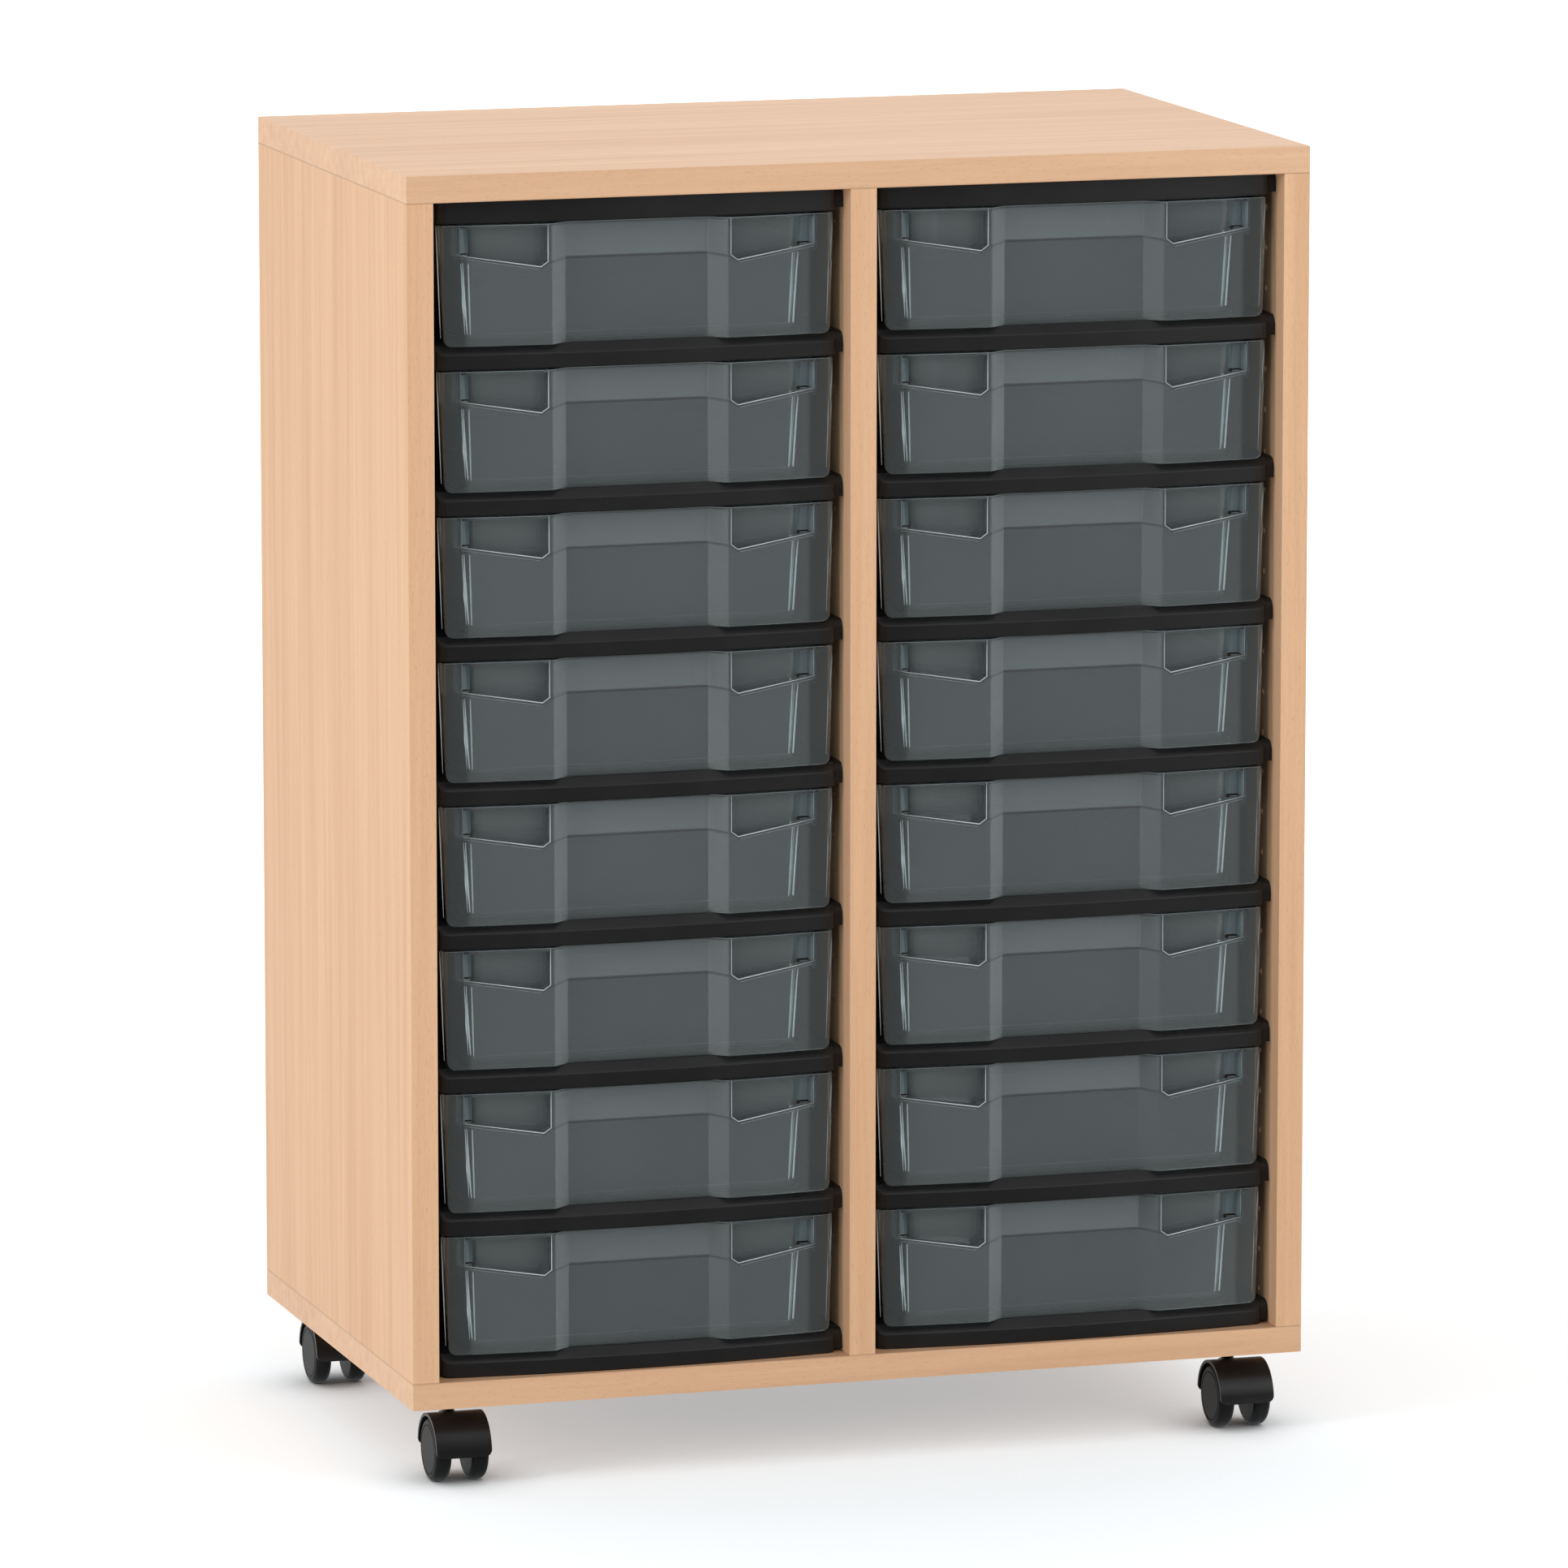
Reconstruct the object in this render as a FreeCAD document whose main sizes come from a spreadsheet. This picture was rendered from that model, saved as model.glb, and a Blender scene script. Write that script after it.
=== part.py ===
import FreeCAD, Part
import math
import os

import Sketcher

# Classroom tray storage unit: a beech laminate cabinet on four twin-wheel casters, with two
# columns of eight clear pull-out trays. Each tray slides on a black moulded shelf.
# Millimetres. +Z is up, the trays open towards -Y, and X runs along the width. The origin is on
# the floor under the middle of the cabinet.

doc = FreeCAD.newDocument("tray_storage_unit")
sheet = doc.addObject("Spreadsheet::Sheet", "Sizes")


# ---------------------------------------------------------------- sizes and expressions

class Dim:
    """A size: its value now, and the expression that keeps a feature bound to the sheet."""

    def __init__(self, text, value):
        self.text = text
        self.value = float(value)

    def __add__(self, other):
        return joined(self, "+", other, self.value + as_dim(other).value)

    def __radd__(self, other):
        return as_dim(other) + self

    def __sub__(self, other):
        return joined(self, "-", other, self.value - as_dim(other).value)

    def __rsub__(self, other):
        return as_dim(other) - self

    def __mul__(self, other):
        return joined(self, "*", other, self.value * as_dim(other).value)

    def __rmul__(self, other):
        return as_dim(other) * self

    def __truediv__(self, other):
        return joined(self, "/", other, self.value / as_dim(other).value)

    def __neg__(self):
        return Dim(f"(-{self.text})", -self.value)


def as_dim(size):
    return size if isinstance(size, Dim) else Dim(f"{size:g}", size)


def joined(left, sign, right, value):
    return Dim(f"({left.text} {sign} {as_dim(right).text})", value)


def root(size):
    return Dim(f"sqrt({size.text})", math.sqrt(size.value))


def tangent(angle):
    """The tangent of an angle in degrees."""
    return Dim(f"tan({angle.text} * 1 deg)", math.tan(math.radians(angle.value)))


def size(alias, value, note):
    """Adds one driving dimension to the sheet."""
    row = size.row = getattr(size, "row", 0) + 1
    sheet.set(f"A{row}", alias)
    sheet.set(f"B{row}", f"{value:g}")
    sheet.set(f"C{row}", note)
    sheet.setAlias(f"B{row}", alias)
    return Dim(f"Sizes.{alias}", value)


ZERO = as_dim(0)

# Boards
board = size("board", 21, "thickness of every board")
back_thick = size("back_thick", 8, "back panel")
back_inset = size("back_inset", 10, "back panel, in from the rear edges")
groove_deep = size("groove_deep", 8, "groove that holds the back panel")
groove_gap = size("groove_gap", 0.1, "back panel's clearance in its groove, each side")

# Dowels
dowel_dia = size("dowel_dia", 8, "wooden dowel")
dowel_long = size("dowel_long", 32, "wooden dowel")
dowel_in_face = size("dowel_in_face", 13, "hole in the top or bottom board")
dowel_end_gap = size("dowel_end_gap", 0.5, "dowel's clearance at each end")
dowel_gap = size("dowel_gap", 0.05, "dowel's radial clearance")
dowel_inset = size("dowel_inset", 60, "outer dowels, from the ends of their row")

# Rows of fixing holes on the inner faces
hole_dia = size("hole_dia", 5, "fixing hole")
hole_deep = size("hole_deep", 9, "fixing hole")
hole_pitch = size("hole_pitch", 32, "fixing holes, spacing in a row")
hole_first = size("hole_first", 23.5, "lowest fixing hole, above the bottom board")
hole_inset = size("hole_inset", 41, "rows of fixing holes, from the front and the back panel")

# Moulded shelves
bar_tall = size("bar_tall", 18, "shelf, overall height")
bar_face = size("bar_face", 11.6, "upright part of the shelf's front bar")
bar_slope = size("bar_slope", 8.2, "run of the slope above the upright part")
bar_recess = size("bar_recess", 4.4, "middle of the bar, behind the cabinet's front")
bow_radius = size("bow_radius", 1357, "bow of the bars in plan")
bar_corner = size("bar_corner", 8, "rounding of the bar's ends in plan")
bar_edge = size("bar_edge", 1.2, "rounding of the bar's long edges")
rail_wide = size("rail_wide", 6.5, "side rail, from the bar's end to the cabinet's side")
rail_recess = size("rail_recess", 19.5, "nose of the side rail, behind the cabinet's front")
rail_lift = size("rail_lift", 2, "underside of the side rail, above the bar's")
rail_nose = size("rail_nose", 8, "rounding of the side rail's nose")
plate_thick = size("plate_thick", 3, "plate that the tray stands on")
shell_wall = size("shell_wall", 4, "walls under the plate")
rib_thick = size("rib_thick", 3, "ribs under the plate")
shelf_gap = size("shelf_gap", 4, "shelf, clear of the back panel")
guide_wide = size("guide_wide", 3, "guide rib beside the tray")
guide_tall = size("guide_tall", 4, "guide rib beside the tray")
guide_gap = size("guide_gap", 0.8, "tray's side clearance at the guide ribs")
guide_inset = size("guide_inset", 30, "front end of the guide ribs")
stop_thick = size("stop_thick", 3, "rear stop")
stop_tall = size("stop_tall", 6, "rear stop")
stop_span = size("stop_span", 200, "rear stop")

# Screws
screw_dia = size("screw_dia", 3.5, "screw shank")
screw_long = size("screw_long", 19, "screw, under its head")
head_dia = size("head_dia", 7, "screw head")
head_tall = size("head_tall", 2.4, "screw head")
screw_gap = size("screw_gap", 0.1, "screw's radial clearance in the piece that it holds")
screw_inset = size("screw_inset", 70, "screws, from the front and from the back panel")
screw_lift = size("screw_lift", 8, "screws, above the shelf's underside")
back_screw_inset = size("back_screw_inset", 120, "outer back screws, from the divider's ends")

# Trays
tray_width = size("tray_width", 316, "front panel at its top")
tray_tuck = size("tray_tuck", 3.6, "how much narrower each side of the front panel is below")
tray_tall = size("tray_tall", 93, "tray, overall")
tray_long = size("tray_long", 414, "tray, front to back")
tray_wall = size("tray_wall", 2.2, "walls, floor, rim and lips")
tray_setback = size("tray_setback", 1.1, "front panel, behind the bar below it")
tray_side_gap = size("tray_side_gap", 8.5, "front panel, clear of the cabinet's sides")
tray_head_gap = size("tray_head_gap", 1.5, "tray, clear of the shelf above")
tray_back_gap = size("tray_back_gap", 5.5, "tray, clear of the rear stop")
front_corner = size("front_corner", 7, "rounding of the front panel's sides in plan")
front_foot = size("front_foot", 6, "rounding of the front panel's lower corners")
front_return = size("front_return", 8, "how far the front panel's sides reach back")
label_half = size("label_half", 70.5, "half the width of the recess in the front panel")
label_run = size("label_run", 13.5, "slope at each side of the recess")
label_recess = size("label_recess", 17.5, "middle of the front panel, behind the cabinet's front")
label_tall = size("label_tall", 26.7, "label band behind the middle of the front panel")
grip_jamb = size("grip_jamb", 2.5, "inner side of a grip opening, from the recess")
grip_hook_run = size("grip_hook_run", 5.6, "run of the hook in the grip's ledge")
grip_hook_deep = size("grip_hook_deep", 29.3, "top of the hook, below the tray's top")
grip_deep = size("grip_deep", 33.3, "lowest point of the ledge, below the tray's top")
grip_end_deep = size("grip_end_deep", 23.2, "outer end of the ledge, below the tray's top")
grip_margin = size("grip_margin", 4, "rim, beyond the grip's outer side")
rim_inset = size("rim_inset", 12.5, "rim, in from the front panel's sides")
rim_overhang = size("rim_overhang", 14.5, "rim, beyond the bin at its floor")
lip_tall = size("lip_tall", 24, "turned-down lip of the rim")
bin_gap = size("bin_gap", 1.3, "bin's rim, behind the middle of the front panel")
bin_draft = size("bin_draft", 3.7, "slope of the bin's walls, degrees")
bin_corner = size("bin_corner", 9, "upright corners of the bin at its floor")
bin_foot = size("bin_foot", 6, "rounding under the bin")

# Casters
wheel_dia = size("wheel_dia", 50, "wheel")
wheel_wide = size("wheel_wide", 13.45, "wheel")
wheel_inner_round = size("wheel_inner_round", 5, "wheel, inner shoulder")
wheel_outer_round = size("wheel_outer_round", 4.5, "wheel, outer shoulder")
hub_dia = size("hub_dia", 38.4, "hub disc")
hub_groove = size("hub_groove", 0.7, "groove round the hub disc")
axle_dia = size("axle_dia", 6, "axle")
axle_gap = size("axle_gap", 0.05, "wheel's radial clearance on its axle")
axle_end_gap = size("axle_end_gap", 0.35, "end of the axle, clear of the wheel")
bore_cover = size("bore_cover", 1.45, "what is left of the wheel past its bore")
web_half = size("web_half", 7, "half the thickness of the web between the wheels")
web_gap = size("web_gap", 1.25, "wheel, clear of the web")
boss_radius = size("boss_radius", 7.5, "boss round the axle")
boss_drop = size("boss_drop", 4.3, "top of the stem's boss, below the hood's")
hood_gap = size("hood_gap", 1.3, "hood, clear of the wheel's tread")
hood_side_gap = size("hood_side_gap", 0.5, "hood, beyond the wheels")
hood_wall = size("hood_wall", 2.4, "hood")
hood_skirt = size("hood_skirt", 2, "hood's lower edge, below the axle")
hood_corner = size("hood_corner", 5.5, "hood's lower corners")
hood_head_gap = size("hood_head_gap", 10.3, "hood, clear of the cabinet")
caster_trail = size("caster_trail", 20, "axle, in front of the stem")
stem_dia = size("stem_dia", 8, "stem, in the housing and in its socket")
stem_gap = size("stem_gap", 0.05, "stem's radial clearance in the housing")
stem_long = size("stem_long", 14, "depth of the stem's bore in the housing")
collar_dia = size("collar_dia", 10, "stem's collar")
collar_gap = size("collar_gap", 0.2, "collar, above the housing")
shank_long = size("shank_long", 15, "stem's upper end")
socket_dia = size("socket_dia", 13, "socket in the bottom board")
socket_long = size("socket_long", 17, "socket in the bottom board")
caster_side = size("caster_side", 42.5, "stems, from the cabinet's sides")
caster_front = size("caster_front", 54, "front stems, from the cabinet's front")
caster_back = size("caster_back", 32, "rear stems, from the cabinet's back")

doc.recompute()

# How many of each
row_count = 8
dowel_count = 3
back_screw_count = 4
rib_cells = 4
rib_pairs = 2

# What follows from the sizes
bay_width = tray_width + 2 * tray_side_gap
bay_centre = (bay_width + board) / 2
body_width = 2 * bay_width + 3 * board
front_half = tray_width / 2
rim_half = front_half - rim_inset
bin_half = rim_half - rim_overhang
bin_spread = tray_tall * tangent(bin_draft)
rim_middle = rim_half - (rim_overhang - bin_spread) / 2
shelf_pitch = tray_tall + tray_head_gap + bar_tall
upright_tall = row_count * shelf_pitch + bar_tall
tray_recess = bar_recess + tray_setback
tray_back = tray_recess + tray_long
shelf_deep = tray_back + tray_back_gap + stop_thick
inner_depth = shelf_deep + shelf_gap
body_depth = inner_depth + back_thick + back_inset
front = -body_depth / 2
wheel_radius = wheel_dia / 2
hood_inner = wheel_radius + hood_gap
hood_outer = hood_inner + hood_wall
caster_tall = wheel_radius + hood_outer + hood_head_gap
bay_floor = caster_tall + board
hole_count = 1 + int((upright_tall - 2 * hole_first).value // hole_pitch.value)


# ---------------------------------------------------------------- helpers

def body(name):
    made = doc.addObject("PartDesign::Body", name)
    made.Label = name
    return made


def place(thing, x=ZERO, y=ZERO, z=ZERO, turn=0):
    """Puts a piece at x, y, z, turned about Z by a number of degrees."""
    spot = FreeCAD.Vector(as_dim(x).value, as_dim(y).value, as_dim(z).value)
    thing.Placement = FreeCAD.Placement(spot, FreeCAD.Rotation(FreeCAD.Vector(0, 0, 1), turn))
    for axis, value in zip("xyz", (x, y, z)):
        thing.setExpression(f"Placement.Base.{axis}", as_dim(value).text)


def new_sketch(owner, name, plane, offset=ZERO):
    """A sketch on one of the body's own planes, moved along that plane's normal."""
    sketch = owner.newObject("Sketcher::SketchObject", name)
    support = [item for item in owner.Origin.OriginFeatures if item.Role == plane][0]
    sketch.AttachmentSupport = [(support, "")]
    sketch.MapMode = "FlatFace"
    offset = as_dim(offset)
    sketch.AttachmentOffset = FreeCAD.Placement(FreeCAD.Vector(0, 0, offset.value), FreeCAD.Rotation())
    sketch.setExpression("AttachmentOffset.Base.z", offset.text)
    return sketch


def bind_constraint(sketch, kind, geometry, point, dim):
    if point is None:
        index = sketch.addConstraint(Sketcher.Constraint(kind, geometry, dim.value))
    else:
        index = sketch.addConstraint(Sketcher.Constraint(kind, -1, 1, geometry, point, dim.value))
    sketch.setExpression(f"Constraints[{index}]", dim.text)


def arc_between(start, end, radius, bulge):
    """The short arc from start to end. bulge is 1 where it lies right of the straight line."""
    chord = end - start
    rise = math.sqrt(max(radius ** 2 - (chord.Length / 2) ** 2, 0))
    side = FreeCAD.Vector(-chord.y, chord.x, 0).normalize()
    centre = (start + end) / 2 + side * rise * bulge
    angles = [math.atan2(p.y - centre.y, p.x - centre.x) for p in (start, end)]
    if bulge < 0:
        angles.reverse()
    circle = Part.Circle(centre, FreeCAD.Vector(0, 0, 1), radius)
    return Part.ArcOfCircle(circle, angles[0], angles[1])


def outline(sketch, corners):
    """Draws a closed outline. A corner is (u, v), or (u, v, radius, bulge) where an arc leaves it.
    bulge is 1 for an arc that bows outward on an outline drawn counter-clockwise."""
    corners = [tuple(as_dim(value) for value in corner[:3]) + tuple(corner[3:]) for corner in corners]
    points = [FreeCAD.Vector(corner[0].value, corner[1].value, 0) for corner in corners]
    first = sketch.GeometryCount
    starts, ends = [], []
    for index, corner in enumerate(corners):
        start, end = points[index], points[(index + 1) % len(points)]
        starts.append(1)
        ends.append(2)
        if len(corner) == 2:
            sketch.addGeometry(Part.LineSegment(start, end))
            continue
        sketch.addGeometry(arc_between(start, end, corner[2].value, corner[3]))
        if corner[3] < 0:
            starts[-1], ends[-1] = 2, 1
    for index, corner in enumerate(corners):
        after = (index + 1) % len(corners)
        meeting = ("Coincident", first + index, ends[index], first + after, starts[after])
        sketch.addConstraint(Sketcher.Constraint(*meeting))
    for index, corner in enumerate(corners):
        bind_constraint(sketch, "DistanceX", first + index, starts[index], corner[0])
        bind_constraint(sketch, "DistanceY", first + index, starts[index], corner[1])
        if len(corner) > 2:
            bind_constraint(sketch, "Radius", first + index, None, corner[2])


def rectangle(sketch, left, low, right, high):
    outline(sketch, [(left, low), (right, low), (right, high), (left, high)])


def rounded_rectangle(sketch, left, low, right, high, radius):
    outline(sketch, [(left + radius, low), (right - radius, low, radius, 1),
                     (right, low + radius), (right, high - radius, radius, 1),
                     (right - radius, high), (left + radius, high, radius, 1),
                     (left, high - radius), (left, low + radius, radius, 1)])


def circle(sketch, u, v, diameter):
    u, v, radius = as_dim(u), as_dim(v), as_dim(diameter) / 2
    centre = FreeCAD.Vector(u.value, v.value, 0)
    index = sketch.addGeometry(Part.Circle(centre, FreeCAD.Vector(0, 0, 1), radius.value))
    bind_constraint(sketch, "DistanceX", index, 3, u)
    bind_constraint(sketch, "DistanceY", index, 3, v)
    bind_constraint(sketch, "Radius", index, None, radius)


def swept(owner, kind, name, sketch, length, reverse=False, both=False, draft=None):
    """A Pad or Pocket of a sketch. reverse turns its direction, both spreads it to each side."""
    made = owner.newObject(f"PartDesign::{kind}", name)
    made.Profile = sketch
    length = as_dim(length)
    made.Length = length.value
    made.setExpression("Length", length.text)
    made.Reversed = reverse
    if both:
        made.SideType = "Symmetric"
    if draft is not None:
        made.TaperAngle = draft.value
        made.setExpression("TaperAngle", draft.text)
    return made


def pad(owner, name, sketch, length, **options):
    return swept(owner, "Pad", name, sketch, length, **options)


def pocket(owner, name, sketch, length, **options):
    return swept(owner, "Pocket", name, sketch, length, **options)


def revolved(owner, name, sketch, axis):
    made = owner.newObject("PartDesign::Revolution", name)
    made.Profile = sketch
    made.ReferenceAxis = (sketch, [axis])
    made.Angle = 360
    return made


def rounded(owner, name, base, radius, wanted):
    """Fillets the base feature's edges for which wanted(edge) is true."""
    doc.recompute()
    edges = [f"Edge{n + 1}" for n, edge in enumerate(base.Shape.Edges) if wanted(edge)]
    made = owner.newObject("PartDesign::Fillet", name)
    made.Base = (base, edges)
    made.Radius = as_dim(radius).value
    made.setExpression("Radius", as_dim(radius).text)
    return made


def repeated(owner, name, original, sketch, axis, spacing, count):
    """A row of copies of a feature along one of its sketch's axes."""
    made = owner.newObject("PartDesign::LinearPattern", name)
    made.Originals = [original]
    made.Direction = (sketch, [axis])
    made.Mode = "Spacing"
    made.Offset = spacing.value
    made.setExpression("Offset", spacing.text)
    made.Occurrences = count
    owner.Tip = made
    return made


def copy_of(name, original, x, y, z):
    """The same piece again, moved by x, y, z."""
    made = doc.addObject("Part::Compound", name)
    made.Label = name
    made.Links = [original]
    place(made, x, y, z)
    return made


def group_of(name, original, spots):
    """Identical small pieces as one node. A spot is a vector and a rotation."""
    doc.recompute()
    made = doc.addObject("Part::Feature", name)
    made.Label = name
    copies = []
    for vector, rotation in spots:
        one = original.Shape.copy()
        one.Placement = FreeCAD.Placement(vector, rotation)
        copies.append(one)
    made.Shape = Part.makeCompound(copies)
    return made


def bow(recess, half):
    """How far a bowed front lies behind the cabinet's front, at half a width from its middle."""
    return recess + bow_radius - root(bow_radius * bow_radius - half * half)


def middle(edge):
    return edge.valueAt((edge.FirstParameter + edge.LastParameter) / 2)


def along(edge, axis):
    """True for a straight edge that is parallel to an axis, or nearly."""
    if len(edge.Vertexes) < 2:
        return False
    run = edge.Vertexes[-1].Point - edge.Vertexes[0].Point
    return run.Length > 0 and abs(run.normalize().dot(axis)) > 0.99


Z_AXIS = FreeCAD.Vector(0, 0, 1)
NEARNESS = 1e-3


def near(a, b):
    return abs(a - as_dim(b).value) < NEARNESS


# ---------------------------------------------------------------- cabinet boards

dowel_in_end = dowel_long + 2 * dowel_end_gap - dowel_in_face


def dowel_rows():
    """Places of the dowels along an upright's end, from the cabinet's front."""
    span = inner_depth - 2 * dowel_inset
    return [dowel_inset + span * step / (dowel_count - 1) for step in range(dowel_count)]


def drill_ends(owner, length):
    """Dowel holes in both ends of an upright board."""
    for end, offset, upward in (("foot", ZERO, True), ("head", length, False)):
        sketch = new_sketch(owner, f"dowel_{end}_sketch", "XY_Plane", offset)
        for spot in dowel_rows():
            circle(sketch, board / 2, spot, dowel_dia + 2 * dowel_gap)
        pocket(owner, f"dowel_{end}_holes", sketch, dowel_in_end, reverse=upward)


def drill_face(owner, face, offset, reverse):
    """The two rows of fixing holes, and the screw holes of the shelves, in an inner face."""
    sketch = new_sketch(owner, f"{face}_hole_sketch", "YZ_Plane", offset)
    for row in (hole_inset, inner_depth - hole_inset):
        circle(sketch, row, hole_first, hole_dia)
    holes = pocket(owner, f"{face}_first_holes", sketch, hole_deep, reverse=reverse)
    repeated(owner, f"{face}_holes", holes, sketch, "V_Axis", hole_pitch, hole_count)
    sketch = new_sketch(owner, f"{face}_screw_sketch", "YZ_Plane", offset)
    for row in (screw_inset, inner_depth - screw_inset):
        circle(sketch, row, screw_lift, screw_dia)
    pilots = pocket(owner, f"{face}_first_pilots", sketch, screw_bite, reverse=reverse)
    repeated(owner, f"{face}_pilots", pilots, sketch, "V_Axis", shelf_pitch, row_count + 1)


def side_panel(name, left, inner_face):
    """A side of the cabinet. inner_face is where its inner face lies: board, or 0."""
    made = body(name)
    sketch = new_sketch(made, "panel_sketch", "XY_Plane")
    rectangle(sketch, 0, 0, board, body_depth)
    pad(made, "panel", sketch, upright_tall)
    sketch = new_sketch(made, "groove_sketch", "XY_Plane")
    faces_right = inner_face is board
    inner = board - groove_deep if faces_right else ZERO
    rectangle(sketch, inner, inner_depth - groove_gap,
              inner + groove_deep, inner_depth + back_thick + groove_gap)
    pocket(made, "groove", sketch, upright_tall, reverse=True)
    drill_ends(made, upright_tall)
    drill_face(made, "inner", inner_face, not faces_right)
    place(made, left, front, bay_floor)
    return made


def divider():
    made = body("centre_divider")
    sketch = new_sketch(made, "panel_sketch", "XY_Plane")
    rectangle(sketch, 0, 0, board, inner_depth)
    pad(made, "panel", sketch, upright_tall)
    drill_ends(made, upright_tall)
    drill_face(made, "left", ZERO, True)
    drill_face(made, "right", board, False)
    sketch = new_sketch(made, "back_screw_sketch", "XZ_Plane", -inner_depth)
    for spot in back_screw_rows():
        circle(sketch, board / 2, spot, screw_dia)
    pocket(made, "back_screw_holes", sketch, screw_long - back_thick, reverse=True)
    place(made, -board / 2, front, bay_floor)
    return made


def back_screw_rows():
    """Heights of the back panel's screws above the bottom board."""
    span = upright_tall - 2 * back_screw_inset
    gaps = back_screw_count - 1
    return [back_screw_inset + span * step / gaps for step in range(back_screw_count)]


def flat_board(name, bottom, inner_face, downward):
    """The top or bottom board. inner_face is the height of the face that meets the uprights."""
    made = body(name)
    sketch = new_sketch(made, "panel_sketch", "XY_Plane")
    rectangle(sketch, -body_width / 2, 0, body_width / 2, body_depth)
    pad(made, "panel", sketch, board)
    sketch = new_sketch(made, "groove_sketch", "XY_Plane", inner_face)
    reach = bay_width + board / 2 + groove_deep
    rectangle(sketch, -reach, inner_depth - groove_gap,
              reach, inner_depth + back_thick + groove_gap)
    pocket(made, "groove", sketch, groove_deep, reverse=downward)
    sketch = new_sketch(made, "dowel_sketch", "XY_Plane", inner_face)
    for column in (-bay_width - board, ZERO, bay_width + board):
        for spot in dowel_rows():
            circle(sketch, column, spot, dowel_dia + 2 * dowel_gap)
    pocket(made, "dowel_holes", sketch, dowel_in_face, reverse=downward)
    place(made, 0, front, bottom)
    return made


def stem_spots():
    """Places of the four stems in the bottom board, by corner."""
    across = body_width / 2 - caster_side
    rows = {"front": caster_front, "back": body_depth - caster_back}
    sides = {"left": -across, "right": across}
    return {f"{row}_{side}": (sides[side], rows[row]) for row in rows for side in sides}


def back_board():
    made = body("back_panel")
    seat = groove_deep - groove_gap
    sketch = new_sketch(made, "panel_sketch", "XZ_Plane")
    reach = bay_width + board / 2 + seat
    rectangle(sketch, -reach, -seat, reach, upright_tall + seat)
    pad(made, "panel", sketch, back_thick, reverse=True)
    sketch = new_sketch(made, "screw_sketch", "XZ_Plane")
    for spot in back_screw_rows():
        circle(sketch, 0, spot, screw_dia + 2 * screw_gap)
    pocket(made, "screw_holes", sketch, back_thick)
    place(made, 0, front + inner_depth, bay_floor)
    return made


screw_bite = screw_long - rail_wide - shell_wall

left_side = side_panel("left_side_panel", -body_width / 2, board)
right_side = side_panel("right_side_panel", body_width / 2 - board, ZERO)
centre_divider = divider()
top_board = flat_board("top_board", bay_floor + upright_tall, ZERO, True)
bottom_board = flat_board("bottom_board", caster_tall, board, False)
socket_sketch = new_sketch(bottom_board, "socket_sketch", "XY_Plane")
for across, deep in stem_spots().values():
    circle(socket_sketch, across, deep, socket_dia)
pocket(bottom_board, "socket_holes", socket_sketch, socket_long, reverse=True)
back_panel = back_board()


# ---------------------------------------------------------------- moulded shelves

bar_half = bay_width / 2 - rail_wide


def shelf_block(made):
    """The bar and plate in plan, with the bar's front bowed forward."""
    side = bow(bar_recess, bar_half)
    sketch = new_sketch(made, "plan_sketch", "XY_Plane")
    outline(sketch, [(-bar_half, side, bow_radius, 1), (bar_half, side),
                     (bar_half, shelf_deep), (-bar_half, shelf_deep)])
    block = pad(made, "plan", sketch, bar_tall)
    return rounded(made, "plan_corners", block, bar_corner,
                   lambda edge: along(edge, Z_AXIS) and near(middle(edge).y, side))


def slope_cut(made):
    """Turns the slope along the bar's upper front edge, about the centre of the bow."""
    past = plate_thick
    sketch = new_sketch(made, "slope_sketch", "YZ_Plane")
    outline(sketch, [(bar_recess, bar_face), (bar_recess + bar_slope, bar_tall),
                     (bar_recess + bar_slope, bar_tall + past),
                     (bar_recess - past, bar_tall + past), (bar_recess - past, bar_face)])
    axis_at = bar_recess + bow_radius
    foot = FreeCAD.Vector(axis_at.value, 0, 0)
    line = sketch.addGeometry(Part.LineSegment(foot, foot + FreeCAD.Vector(0, bar_tall.value, 0)), True)
    bind_constraint(sketch, "DistanceX", line, 1, axis_at)
    bind_constraint(sketch, "DistanceY", line, 1, ZERO)
    bind_constraint(sketch, "DistanceX", line, 2, axis_at)
    bind_constraint(sketch, "DistanceY", line, 2, bar_tall)
    cut = made.newObject("PartDesign::Groove", "slope")
    cut.Profile = sketch
    cut.ReferenceAxis = (sketch, ["Axis0"])
    cut.Angle = 30
    cut.Midplane = True
    return cut


def shelf_rails(made):
    """The two side rails that are screwed to the cabinet, each with a rounded nose."""
    for side, start in (("left", -bay_width / 2), ("right", bar_half - shell_wall)):
        sketch = new_sketch(made, f"{side}_rail_sketch", "YZ_Plane", start)
        outline(sketch, [(rail_recess, rail_lift), (shelf_deep, rail_lift), (shelf_deep, bar_tall),
                         (rail_recess + rail_nose, bar_tall, rail_nose, 1),
                         (rail_recess, bar_tall - rail_nose)])
        pad(made, f"{side}_rail", sketch, rail_wide + shell_wall)


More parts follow.
